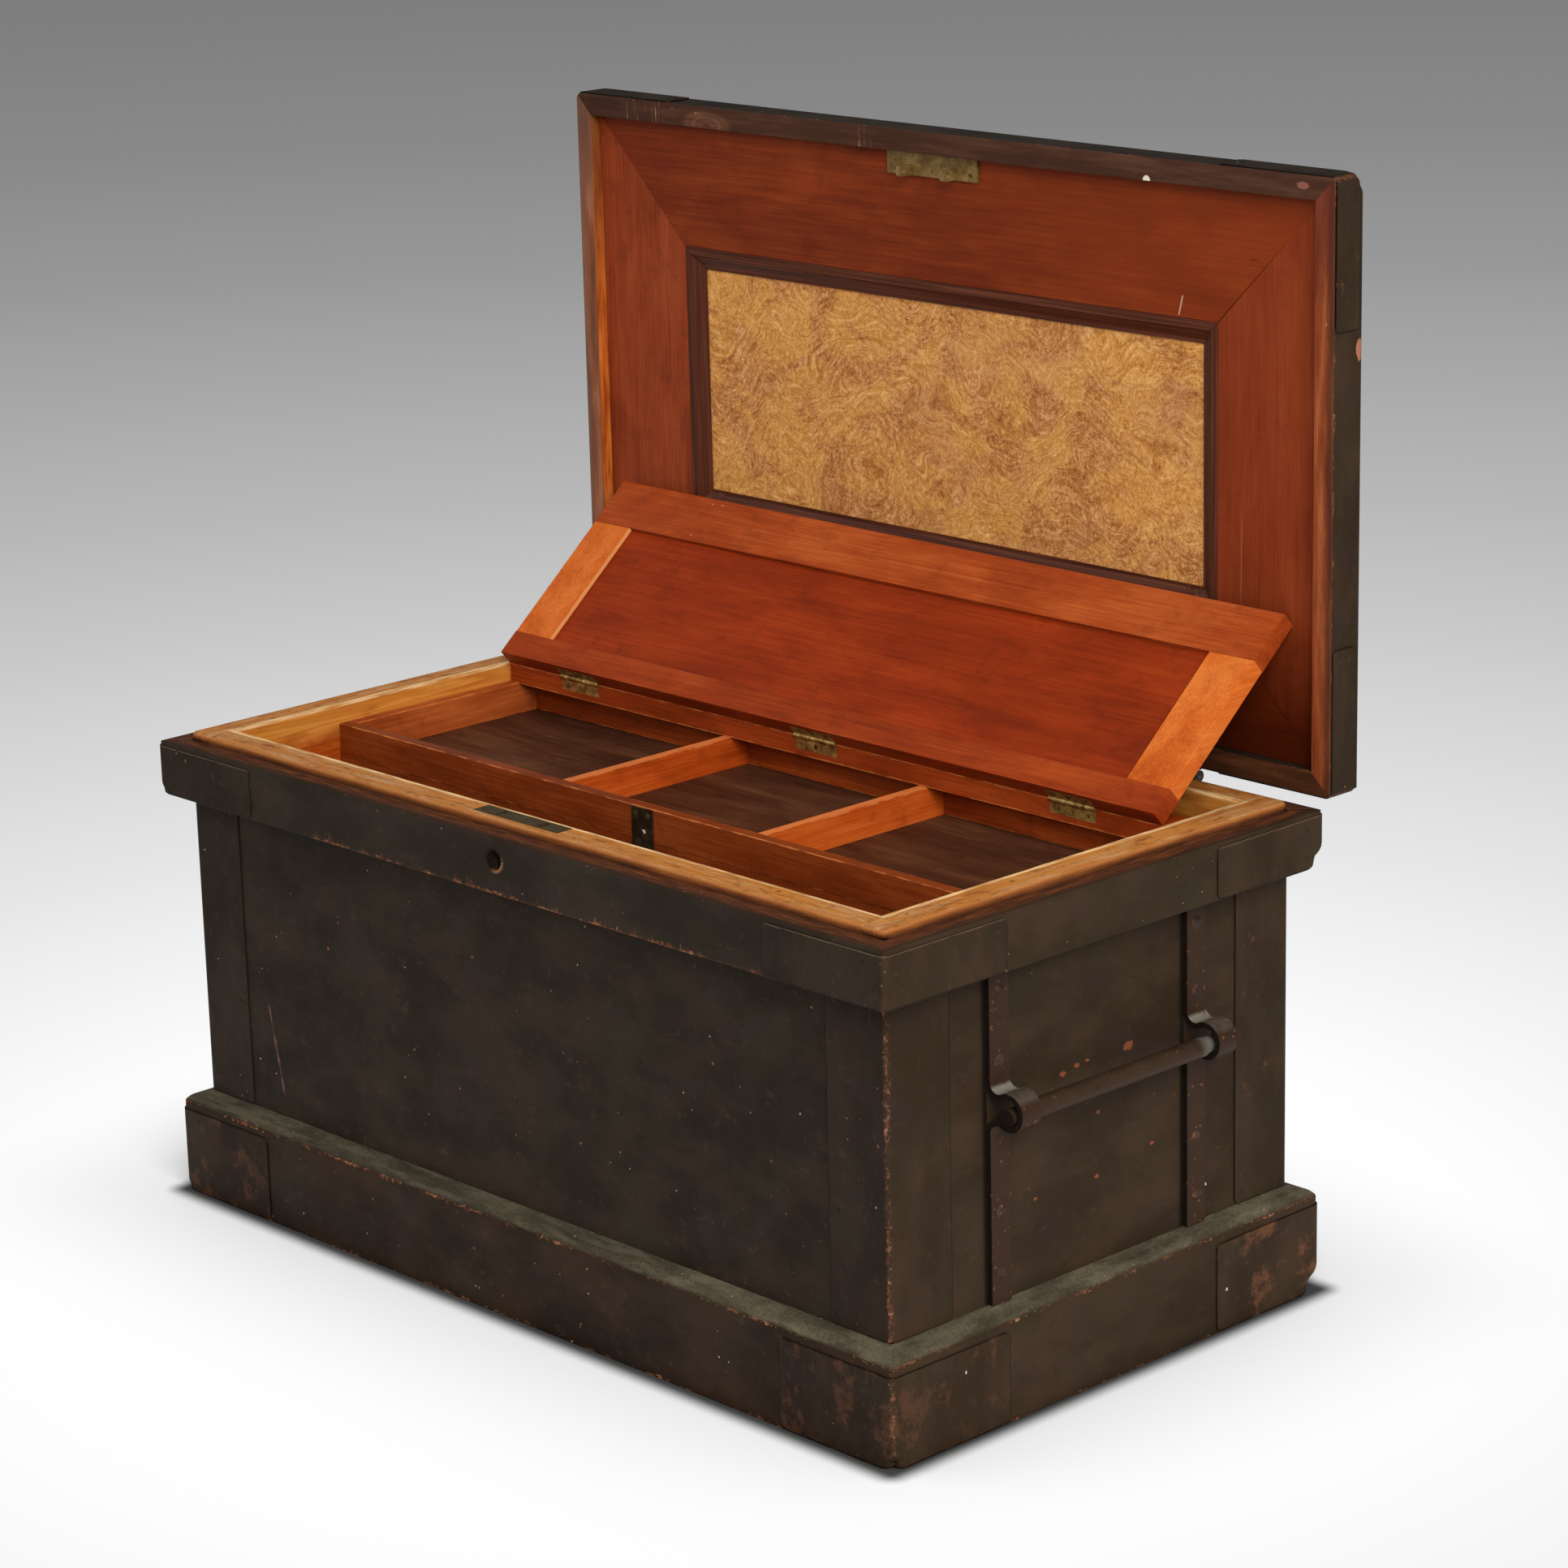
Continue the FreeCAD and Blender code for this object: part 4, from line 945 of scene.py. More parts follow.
@dataclass(frozen=True)
class HoneyPine:
    """Clean pine, gone honey coloured under its old varnish."""

    grain: Axis = Axis.X
    seed: float = 0.0
    dark: Triple = (184, 106, 36)
    mid: Triple = (206, 132, 52)
    light: Triple = (222, 152, 72)
    dirt: Triple = (150, 78, 28)
    knock: Triple = (116, 60, 24)

    def lay(self, graph: Graph) -> Surface:
        """The pine.

        Args:
            graph: The tree that it goes into.

        Returns:
            The layer.
        """
        rings = graph.noise(self.grain.along(300, 22), self.seed, 2, 0.5, 0.3)
        lines = (rings * 48).wave() * 0.5 + 0.5
        streak = graph.noise(self.grain.along(60, 1.5), self.seed + 1, 4)
        cloud = graph.noise(self.grain.along(90, 30), self.seed + 4, 4)
        base = lines * 0.2 + streak * 0.4 + cloud * 0.4
        stops = [(0.3, self.dark), (0.5, self.mid), (0.72, self.light)]
        dirt = graph.noise(self.grain.along(60, 26), self.seed + 2, 6, 0.68).rise(0.52, 0.72)
        knocks = graph.specks(15.0, 0.16, 1.4, self.seed + 3)
        colour = graph.coats(graph.ramp(base, stops), (dirt * 0.5, self.dirt),
                             (knocks * 0.5, self.knock))
        return Surface(colour, streak * 0.2 + 0.36, 0.0, (streak - 0.5) * 0.12 - knocks * 0.08)


@dataclass(frozen=True)
class Mahogany:
    """Oiled red-brown hardwood with a soft, cloudy figure."""

    grain: Axis = Axis.X
    seed: float = 0.0
    dark: Triple = (108, 38, 10)
    mid: Triple = (130, 50, 13)
    light: Triple = (148, 64, 22)
    bare: Triple = (196, 108, 62)
    pore: Triple = (66, 22, 8)

    def lay(self, graph: Graph, edge: Value | None = None, rub: float = 1.6) -> Surface:
        """The wood.

        Args:
            graph: The tree that it goes into.
            edge: The distance to the nearest arris, where arrises are rubbed.
            rub: How wide the rubbed part is.

        Returns:
            The layer.
        """
        figure = graph.noise(self.grain.along(150, 42), self.seed, 4, 0.6, 0.4)
        streak = graph.noise(self.grain.along(80, 2.2), self.seed + 1, 4, 0.6)
        stops = [(0.36, self.dark), (0.5, self.mid), (0.64, self.light)]
        cloud = graph.noise(30.0, self.seed + 6, 4, 0.65).rise(0.52, 0.72)
        pores = graph.noise(self.grain.along(9, 0.5), self.seed + 2, 2).rise(0.58, 0.72)
        marks = graph.specks(22.0, 0.2, 0.9, self.seed + 3)
        lines = graph.scratches((0, 64, 0), 10, 0.4, 0.08, self.seed + 5)
        colour = graph.coats(
            graph.ramp(figure * 0.62 + streak * 0.38, stops),
            (cloud * 0.3, tuple(part * 0.72 for part in self.dark)),
            (pores * 0.22, self.pore),
            (marks * 0.6, self.bare),
            (lines * 0.45, self.bare),
        )
        if edge is not None:
            chips = graph.noise(self.grain.along(20, 3), self.seed + 4, 5, 0.7).rise(0.3, 0.68)
            worn = (chips * rub - edge).rise(-0.2, 0.8)
            colour = graph.mix(worn * 0.6, colour, srgb(*self.bare))
        height = (streak - 0.5) * 0.05 - pores * 0.04 - lines * 0.04
        return Surface(colour, streak * 0.2 + 0.34, 0.0, height)


@dataclass(frozen=True)
class BurrVeneer:
    """Golden burr with swirling fibres and brown clusters, polished."""

    seed: float = 0.0
    tan: Triple = (188, 132, 88)
    ring: Triple = (126, 70, 32)
    eye: Triple = (108, 60, 28)
    gold: tuple[Triple, ...] = ((150, 92, 38), (194, 130, 62), (216, 158, 86), (238, 192, 124))
    brown: tuple[Triple, ...] = ((118, 64, 28), (170, 106, 52), (206, 146, 88), (234, 182, 130))

    def lay(self, graph: Graph) -> Surface:
        """The veneer.

        Args:
            graph: The tree that it goes into.

        Returns:
            The layer.
        """
        bent = graph.pushed(120.0, 150.0, self.seed)
        curled = graph.pushed(34.0, 42.0, self.seed + 4)
        fibres = graph.noise((30, 30, 3.6), self.seed + 1, 6, 0.74, 0.6, bent)
        tufts = graph.noise((3.2, 3.2, 15), self.seed + 2, 6, 0.74, 0.8, curled)
        stipple = graph.noise(3.4, self.seed + 3, 6, 0.85, 0.6)
        base = fibres * 0.34 + tufts * 0.26 + stipple * 0.4
        gold, brown = (graph.ramp(base, list(zip((0.4, 0.47, 0.53, 0.6), tones)))
                       for tones in (self.gold, self.brown))
        zones = graph.noise((70, 70, 52), self.seed + 5, 5, 0.66, 0.9)
        tan = graph.noise((130, 130, 90), self.seed + 9, 3).rise(0.5, 0.66)
        rings = (graph.noise(70.0, self.seed + 7, 3, 0.5, 0.8, curled) * 34).wave()
        eyes = graph.noise(7.0, self.seed + 8, 6, 0.8)
        colour = graph.coats(
            graph.mix(zones.rise(0.42, 0.6), gold, brown),
            (tan * 0.3, self.tan),
            (rings.rise(0.75, 1.0) * zones.rise(0.42, 0.56) * 0.32, self.ring),
            (eyes.rise(0.58, 0.68) * zones.rise(0.46, 0.6) * 0.6, self.eye),
        )
        return Surface(colour, stipple * 0.2 + 0.36, 0.0, (stipple - 0.5) * 0.06)


@dataclass(frozen=True)
class ForgedIron:
    """Forged iron under dark paint that rust has come through."""

    seed: float = 0.0
    rust: float = 0.6
    dark: Triple = (44, 33, 27)
    mid: Triple = (64, 48, 39)
    light: Triple = (84, 64, 52)

    def lay(self, graph: Graph) -> Surface:
        """The iron.

        Args:
            graph: The tree that it goes into.

        Returns:
            The layer.
        """
        tone = graph.noise(16.0, self.seed, 5, 0.65)
        stops = [(0.34, self.dark), (0.52, self.mid), (0.7, self.light)]
        paint = Surface(graph.ramp(tone, stops), tone * 0.3 + 0.4, 0.1, (tone - 0.5) * 0.3)
        spots = graph.noise((4.0, 4.0, 7.0), self.seed + 1, 6, 0.78)
        patch = graph.noise(42.0, self.seed + 2, 3)
        bare = (spots * 0.66 + patch * 0.34).rise(self.rust - 0.02, self.rust + 0.03)
        return paint.covered(Rust(self.seed).lay(graph), bare)


@dataclass(frozen=True)
class OldSteel:
    """Dull steel, brown with age."""

    seed: float = 0.0

    def lay(self, graph: Graph) -> Surface:
        """The steel.

        Args:
            graph: The tree that it goes into.

        Returns:
            The layer.
        """
        tone = graph.noise(6.0, self.seed, 5, 0.7)
        colour = graph.ramp(tone, [(0.35, (60, 50, 42)), (0.6, (112, 102, 90)),
                                   (0.75, (140, 128, 112))])
        return Surface(colour, tone * 0.3 + 0.3, 0.75, (tone - 0.5) * 0.08)


@dataclass(frozen=True)
class AgedBrass:
    """Brass gone brown, bright where it is handled."""

    seed: float = 0.0
    dark: Triple = (66, 52, 28)
    mid: Triple = (120, 94, 48)
    light: Triple = (168, 136, 78)
    metal: float = 0.7
    grime: Triple = (52, 40, 24)

    def lay(self, graph: Graph) -> Surface:
        """The brass.

        Args:
            graph: The tree that it goes into.

        Returns:
            The layer.
        """
        tone = graph.noise(9.0, self.seed, 5, 0.65)
        colour = graph.ramp(tone, [(0.36, self.dark), (0.5, self.mid), (0.66, self.light)])
        grime = graph.noise(2.6, self.seed + 1, 4, 0.7).rise(0.58, 0.7)
        colour = graph.coats(colour, (grime * 0.5, self.grime))
        return Surface(colour, tone * 0.25 + 0.3, self.metal, (tone - 0.5) * 0.05)


# ---------------------------------------------------------------- shared work


def linked(name: str, data: bpy.types.ID) -> bpy.types.Object:
    """A new object of the scene, at the origin.

    Args:
        name: Its name.
        data: Its mesh, lamp or camera.

    Returns:
        The object.
    """
    made = bpy.data.objects.new(name, data)
    bpy.context.scene.collection.objects.link(made)
    return made


def merged(node: str) -> bmesh.types.BMesh:
    """A copy of a node's loose triangles, joined where they meet.

    Args:
        node: The node.

    Returns:
        The working mesh, in metres.
    """
    mesh = bmesh.new()
    mesh.from_mesh(NODES[node].data)
    bmesh.ops.remove_doubles(mesh, verts=mesh.verts, dist=WELD)
    return mesh


def plain(mesh: bmesh.types.BMesh, name: str) -> bpy.types.Mesh:
    """Turns a working mesh into a plain one and gives the working one up.

    Args:
        mesh: The working mesh.
        name: The plain mesh's name.

    Returns:
        The plain mesh.
    """
    data = bpy.data.meshes.new(name)
    mesh.to_mesh(data)
    mesh.free()
    return data


def dress(piece: bpy.types.Object, material: bpy.types.Material) -> None:
    """Gives a piece its one material and says so.

    Args:
        piece: The piece.
        material: Its material.
    """
    piece.data.materials.clear()
    piece.data.materials.append(material)
    for polygon in piece.data.polygons:
        polygon.material_index = 0
    LOG.info("%s: %s, %d faces", piece.name, material.name, len(piece.data.polygons))


def smoothed(data: bpy.types.Mesh) -> bpy.types.Mesh:
    """Shades a mesh smooth, but for its real arrises.

    Args:
        data: The mesh.

    Returns:
        The same mesh.
    """
    data.shade_smooth()
    data.set_sharp_from_angle(angle=SMOOTH_ANGLE)
    return data


def placed(data: bpy.types.Mesh, node: str) -> bpy.types.Object:
    """Puts a mesh in the place of a node.

    Args:
        data: The mesh.
        node: The node that it stands for.

    Returns:
        The new piece, riding where the node rides.
    """
    piece = linked(data.name, data)
    piece.modifiers.new("flat_faces", "WEIGHTED_NORMAL").keep_sharp = True
    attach(piece, NODES[node]["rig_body"])
    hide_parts(node)
    return piece


def eased(node: str, radius: float, shortest: float = 24.0, steps: int = 2,
          knocks: tuple[Knock, ...] = ()) -> bpy.types.Object:
    """A copy of a node with its long arrises rounded, in the node's place.

    Args:
        node: The node that it stands for.
        radius: The rounding in millimetres, or none for 0.
        shortest: Arrises shorter than this stay sharp.
        steps: Faces across the rounding.
        knocks: Corners that are worn away.

    Returns:
        The new piece.
    """
    mesh = merged(node)
    bmesh.ops.dissolve_limit(mesh, angle_limit=FLAT_ANGLE, verts=mesh.verts,
                             edges=mesh.edges, delimit={"NORMAL"})
    sharp = [
        edge for edge in mesh.edges
        if len(edge.link_faces) == 2 and edge.calc_length() > shortest * MM
        and edge.calc_face_angle(0.0) > ARRIS_ANGLE
    ]
    if radius > 0:
        bmesh.ops.bevel(mesh, geom=sharp, offset=radius * MM, offset_type="OFFSET",
                        segments=steps, profile=0.5, affect="EDGES", clamp_overlap=True)
    if knocks:
        bmesh.ops.triangulate(mesh, faces=mesh.faces)
    for knock in knocks:
        knock.apply(mesh)
    return placed(smoothed(plain(mesh, node + "_eased")), node)


# ---------------------------------------------------------------- nails, screws and bolts


@dataclass(frozen=True)
class Pattern:
    """One sort of nail, screw or bolt, in millimetres."""

    head: float
    shank: float
    length: float
    crown: float = 0.05
    flat: float = 0.94
    sink: float = 1.5
    sides: int = 20
    slot: bool = True
    lean: float = 0.0
    wobble: float = 0.0

    def values(self, seed: int, material: bpy.types.Material) -> dict[str, object]:
        """What the tree's inputs are set to.

        Args:
            seed: Which of the many random turns it has.
            material: The material that it gives.

        Returns:
            The values by the inputs' names.
        """
        return {"Head": self.head, "Shank": self.shank, "Length": self.length,
                "Crown": self.crown, "Flat": self.flat, "Sink": self.sink,
                "Sides": self.sides, "Lean": math.radians(self.lean),
                "Wobble": self.wobble, "Seed": seed, "Material": material}


NAIL = Pattern(2.9, 1.0, 14.0, crown=0.55, flat=0.55, sink=0.1, sides=9, slot=False,
               lean=4.0, wobble=0.18)
BOLT = Pattern(5.55, 3.0, 24.0, crown=2.2, flat=0.42, sink=0.2, slot=False, lean=1.0,
               wobble=0.04)
SMALL_SCREW = Pattern(2.38, 0.9, 9.0)
BUTT_SCREW = Pattern(3.75, 1.6, 14.0, sink=2.1)


class FastenerTree(Maker):
    """Turns a head and a shank, slots it where it is a screw, and sets one on each point."""

    def __init__(self, slotted: bool) -> None:
        """Builds the tree.

        Args:
            slotted: Whether the heads have a slot.
        """
        sizes = {"Head": 3.0, "Shank": 1.0, "Length": 14.0, "Crown": 1.0, "Flat": 0.5,
                 "Sink": 0.1, "Lean": 0.0, "Wobble": 0.0, "Sides": 12, "Seed": 0}
        super().__init__("slotted_fastener" if slotted else "domed_fastener", sizes)
        head, shank, length = (self.size(name) for name in ("Head", "Shank", "Length"))
        crown, flat, sink = (self.size(name) for name in ("Crown", "Flat", "Sink"))
        heights = [0.0 - length, shank * 2 - length, 0.0 - sink, 0.0, crown * 0.5, crown]
        radii = [shank * 0.15, shank, shank, head, head * (flat * 0.35 + 0.6), head * flat]
        body = self.lathe(heights, radii, self.size("Sides"))
        if slotted:
            block = self.node("GeometryNodeMeshCube", inputs={
                "Size": self.gather(head * 3, head * 0.24, head * 0.36)})
            raised = self.node("GeometryNodeTransform", inputs={
                "Geometry": block.outputs[0], "Translation": self.gather(0.0, 0.0, crown)})
            body = self.node("GeometryNodeMeshBoolean", {"operation": "DIFFERENCE"},
                             {0: body, 1: raised.outputs[0]}).outputs[0]
        self.close(self.spread(body))

    def spread(self, body: bpy.types.NodeSocket) -> bpy.types.NodeSocket:
        """One body on each point, along its way out and turned at random.

        Args:
            body: The mesh of one fastener, in millimetres.

        Returns:
            The instances, in metres.
        """
        out = self.node("GeometryNodeInputNamedAttribute", {"data_type": "FLOAT_VECTOR"},
                        {"Name": "out"})
        faced = self.node("FunctionNodeAlignRotationToVector", {"axis": "Z"},
                          {"Vector": out.outputs[0]})
        lean, seed = self.size("Lean"), self.size("Seed")
        spin = self.node("FunctionNodeRandomValue", {"data_type": "FLOAT_VECTOR"}, {
            0: self.gather(0.0 - lean, 0.0 - lean, -math.pi),
            1: self.gather(lean, lean, math.pi), "Seed": seed})
        euler = self.node("FunctionNodeEulerToRotation", inputs={0: spin.outputs[0]})
        turned = self.node("FunctionNodeRotateRotation", {"rotation_space": "LOCAL"}, {
            "Rotation": faced.outputs[0], "Rotate By": euler.outputs[0]})
        share = self.node("FunctionNodeRandomValue", {"data_type": "FLOAT"}, {
            2: 1.0 - self.size("Wobble"), 3: 1.0, "Seed": seed + 7})
        scale = Value(self, share.outputs[1]) * MM
        return self.node("GeometryNodeInstanceOnPoints", inputs={
            "Points": self.given.outputs["Geometry"], "Instance": body,
            "Rotation": turned.outputs[0], "Scale": scale}).outputs[0]


def shells(node: str) -> list[np.ndarray]:
    """The separate solids of a node, as clouds of points in millimetres.

    Args:
        node: The node.

    Returns:
        One array of points for each solid, in a fixed order.
    """
    mesh = merged(node)
    mesh.verts.ensure_lookup_table()
    seen: set[int] = set()
    found = []
    for first in mesh.verts:
        if first.index in seen:
            continue
        seen.add(first.index)
        todo, points = [first], []
        while todo:
            vert = todo.pop()
            points.append(vert.co / MM)
            for edge in vert.link_edges:
                other = edge.other_vert(vert)
                if other.index not in seen:
                    seen.add(other.index)
                    todo.append(other)
        found.append(np.array(points))
    mesh.free()
    return found


def seat(points: np.ndarray, rim_share: float = 0.97) -> tuple[Vector, Vector, float]:
    """Where one fastener sits: below its head's rim, its way out and its head's radius.

    Args:
        points: The points of its solid.
        rim_share: The share of the head's radius that counts as its rim.

    Returns:
        The middle of its rim in metres, the way out, and the radius in millimetres.
    """
    away = points - points.mean(0)
    spread, ways = np.linalg.eigh(away.T @ away)
    odd = 0 if spread[1] - spread[0] > spread[2] - spread[1] else 2
    out = np.round(ways[:, odd], 3)
    out /= np.linalg.norm(out)
    along = away @ out
    across = away - np.outer(along, out)
    middle = (across.max(0) + across.min(0)) / 2
    radius = np.linalg.norm(across - middle, axis=1)
    rim = along[radius > rim_share * radius.max()]
    if rim.mean() < (along.max() + along.min()) / 2:
        out, along, rim = -out, -along, -rim
    foot = points.mean(0) + middle + out * rim.min()
    return Vector(foot) * MM, Vector(out), float(radius.max())


@dataclass
class Fasteners:
    """Every nail, screw and bolt that shows, each where its solid is."""

    nail_tones: tuple[Triple, Triple] = ((25, 19, 14), (40, 31, 24))
    dull_tones: tuple[Triple, ...] = ((42, 35, 24), (58, 49, 34), (78, 68, 48))

    def build(self) -> None:
        """Sets and dresses them, node by node."""
        trees = {slotted: FastenerTree(slotted) for slotted in (True, False)}
        rows = (
            ("plate_nails", OldPaint(Axis.Z, 190.0, *self.nail_tones), (NAIL,)),
            ("lid_nails", OldPaint(Axis.Z, 191.0, *self.nail_tones), (NAIL,)),
            ("strap_bolts", ForgedIron(192.0, 0.56), (BOLT,)),
            ("chest_screws", AgedBrass(193.0, *self.dull_tones, 0.1),
             (SMALL_SCREW, BUTT_SCREW)),
            ("lid_screws", AgedBrass(194.0), (SMALL_SCREW, BUTT_SCREW)),
            ("till_screws", AgedBrass(195.0), (SMALL_SCREW,)),
            ("flap_screws", AgedBrass(196.0), (SMALL_SCREW,)),
        )
        for row, (node, metal, patterns) in enumerate(rows):
            graph = Graph(node + "_metal")
            material = graph.finish(metal.lay(graph), 0.12)
            seats = [seat(points) for points in shells(node)]
            mesh = bmesh.new()
            for pattern in patterns:
                mine = [s for s in seats
                        if min(patterns, key=lambda p: abs(p.head - s[2])) is pattern]
                points = bpy.data.meshes.new(node + "_points")
                points.from_pydata([foot for foot, _, _ in mine], [], [])
                ways = points.attributes.new("out", "FLOAT_VECTOR", "POINT")
                ways.data.foreach_set("vector", [part for _, out, _ in mine for part in out])
                mesh.from_mesh(trees[pattern.slot].run(
                    points, pattern.values(row * 10, material)))
            dress(placed(smoothed(plain(mesh, node + "_set")), node), material)


# ---------------------------------------------------------------- the chest


@dataclass
class PaintedBoards:
    """Boards that are painted all over: the plinth and the band round the top."""

    keyhole: Triple = (4, -250, 396)
    band_foot: float = 367.0
    plinth_scuffs: tuple[Scuff, ...] = (
        Scuff((300, -250, 30), (170, 30, 40), 0.8),
        Scuff((-150, -250, 40), (160, 30, 34), 0.6),
        Scuff((445, -206, 70), (30, 16, 14), 0.9),
        Scuff((445, 120, 20), (30, 150, 24), 0.35),
    )
    foot_knocks: tuple[Knock, ...] = (
        Knock((445.2, -250.2, 0), (1, -1, -1), 15.0), Knock((445.2, 250.2, 0), (1, 1, -1), 24.0),
        Knock((-445.2, -250.2, 0), (-1, -1, -1), 11.0),
        Knock((-445.2, 250.2, 0), (-1, 1, -1), 15.0),
    )
    band_knocks: tuple[Knock, ...] = (
        Knock((-446.2, -251.2, 367), (-1, -1, -1), 11.0),
        Knock((446.2, 251.2, 367), (1, 1, -1), 20.0),
        Knock((446.2, -251.2, 367), (1, -1, -1), 4.0),
        Knock((-446.2, 251.2, 367), (-1, 1, -1), 9.0),
    )

    def build(self) -> None:
        """Dresses the four boards of each."""
        for i, side in enumerate(SIDES):
            grain = Axis.X if side in ("front", "back") else Axis.Y
            self.plinth(f"plinth_{side}", grain, 10.0 + 7 * i)
            self.band(f"band_{side}", grain, 50.0 + 7 * i)

    def knocks(self, node: str, knocks: tuple[Knock, ...]) -> tuple[Knock, ...]:
        """Those of the knocks that reach a node.

        Args:
            node: The node.
            knocks: The worn corners of its kind.

        Returns:
            The ones on this node.
        """
        box = Extent.of(node)
        middle, half = (box.low + box.high) / 2, (box.high - box.low) / 2
        return tuple(knock for knock in knocks
                     if all(abs(knock.corner[i] - middle[i]) < half[i] + 8 for i in (0, 1)))

    def plinth(self, node: str, grain: Axis, seed: float) -> None:
        """One plinth board, dusty on its sloping top.

        Args:
            node: Its node.
            grain: The way of its grain.
            seed: Its own pattern.
        """
        piece = eased(node, 1.3, knocks=self.knocks(node, self.foot_knocks))
        graph = Graph(node + "_paint")
        paint = OldPaint(grain, seed, (35, 25, 17), (51, 36, 25))
        foot = graph.z.most(0.0)
        slope = abs(graph.facing[2] - 0.42) * 12
        layer = paint.lay(graph)
        bare = paint.rubbed(graph, foot, 7.0, 0.2, self.plinth_scuffs)
        bare = bare.most(paint.rubbed(graph, slope, 4.0, 0.19))
        layer = layer.covered(BareWood(grain, seed).lay(graph), bare)
        dust = Dust(grain, seed + 20)
        layer = layer.covered(dust.lay(graph), dust.lies(graph) * 0.94)
        dress(piece, graph.finish(layer))

    def band(self, node: str, grain: Axis, seed: float) -> None:
        """One board of the band, rubbed at its arrises and on its top.

        Args:
            node: Its node.
            grain: The way of its grain.
            seed: Its own pattern.
        """
        piece = eased(node, 0.9, knocks=self.knocks(node, self.band_knocks))
        graph = Graph(node + "_paint")
        paint = OldPaint(grain, seed, (38, 30, 22), (50, 40, 31))
        extent = Extent.of(node)
        layer = paint.lay(graph)
        bare = paint.rubbed(graph, extent.edge(graph), 3.0, 0.12)
        if node == "band_front":
            bare = bare.most(self.splinters(graph, seed))
        layer = layer.covered(BareWood(grain, seed).lay(graph), bare)
        walls = Extent.walls()
        out = (abs(graph.x) - walls.high.x).most(abs(graph.y) - abs(walls.low.y))
        ledge = graph.noise(grain.along(30, 3), seed + 24, 5, 0.7)
        rubbed_top = Surface(graph.ramp(ledge, [(0.36, (62, 36, 26)), (0.52, (92, 52, 32)),
                                                (0.68, (132, 76, 42))]), 0.55)
        cover = graph.facing[2].rise(0.25, 0.8) * (out + ledge * 6 - 3).rise(20, 9)
        layer = layer.covered(rubbed_top, cover * 0.9)
        if node == "band_front":
            layer = self.hollow(graph, layer)
        dress(piece, graph.finish(layer))

    def splinters(self, graph: Graph, seed: float) -> Value:
        """Chips along the band's lower arris, with splinters that run up from it.

        Args:
            graph: The tree that it goes into.
            seed: Its own pattern.

        Returns:
            1 where the wood is bare.
        """
        up = graph.z - self.band_foot
        where = graph.x.rise(-250, -205) * (graph.x.rise(330, 270) * 0.85 + 0.15)
        some = graph.noise((34, 200, 200), seed + 30, 4, 0.65).rise(0.44, 0.56)
        thin = graph.noise((1.1, 200, 15), seed + 31, 5, 0.72)
        splints = (thin - up * 0.012 - 0.52).rise(0.0, 0.05) * up.rise(16, 9) * some
        chips = graph.noise((5, 9, 2.6), seed + 32, 6, 0.8)
        line = (chips - up * 0.045 - 0.4).rise(0.0, 0.05) * (some * 0.7 + 0.3).rise(0.2, 0.6)
        return splints.most(line) * where

    def hollow(self, graph: Graph, layer: Surface) -> Surface:
        """The paint worn in the hollow round the keyhole, with painted shade inside the hollow.

        Args:
            graph: The tree that it goes into.
            layer: The painted layer.

        Returns:
            The layer with the hollow's own colours.
        """
        # Painted shade: the inside of the hollow is darkened.
        inside = (graph.y + 249.4).rise(0.0, 1.2) * graph.near(self.keyhole, (10, 14, 10), 0.1)
        slant = (graph.x - graph.z + (self.keyhole[2] - self.keyhole[0])).rise(2, 11)
        ring = graph.near(self.keyhole, (12.5, 14, 12), 0.25)
        torn = graph.noise(4.0, 58.0, 5, 0.75).rise(0.36, 0.5)
        return layer.coated(
            (ring * 0.8, (27, 19, 13)),
            (ring * slant * torn * 0.75, (150, 106, 72)),
            (inside * 0.7, (24, 16, 11)),
        )


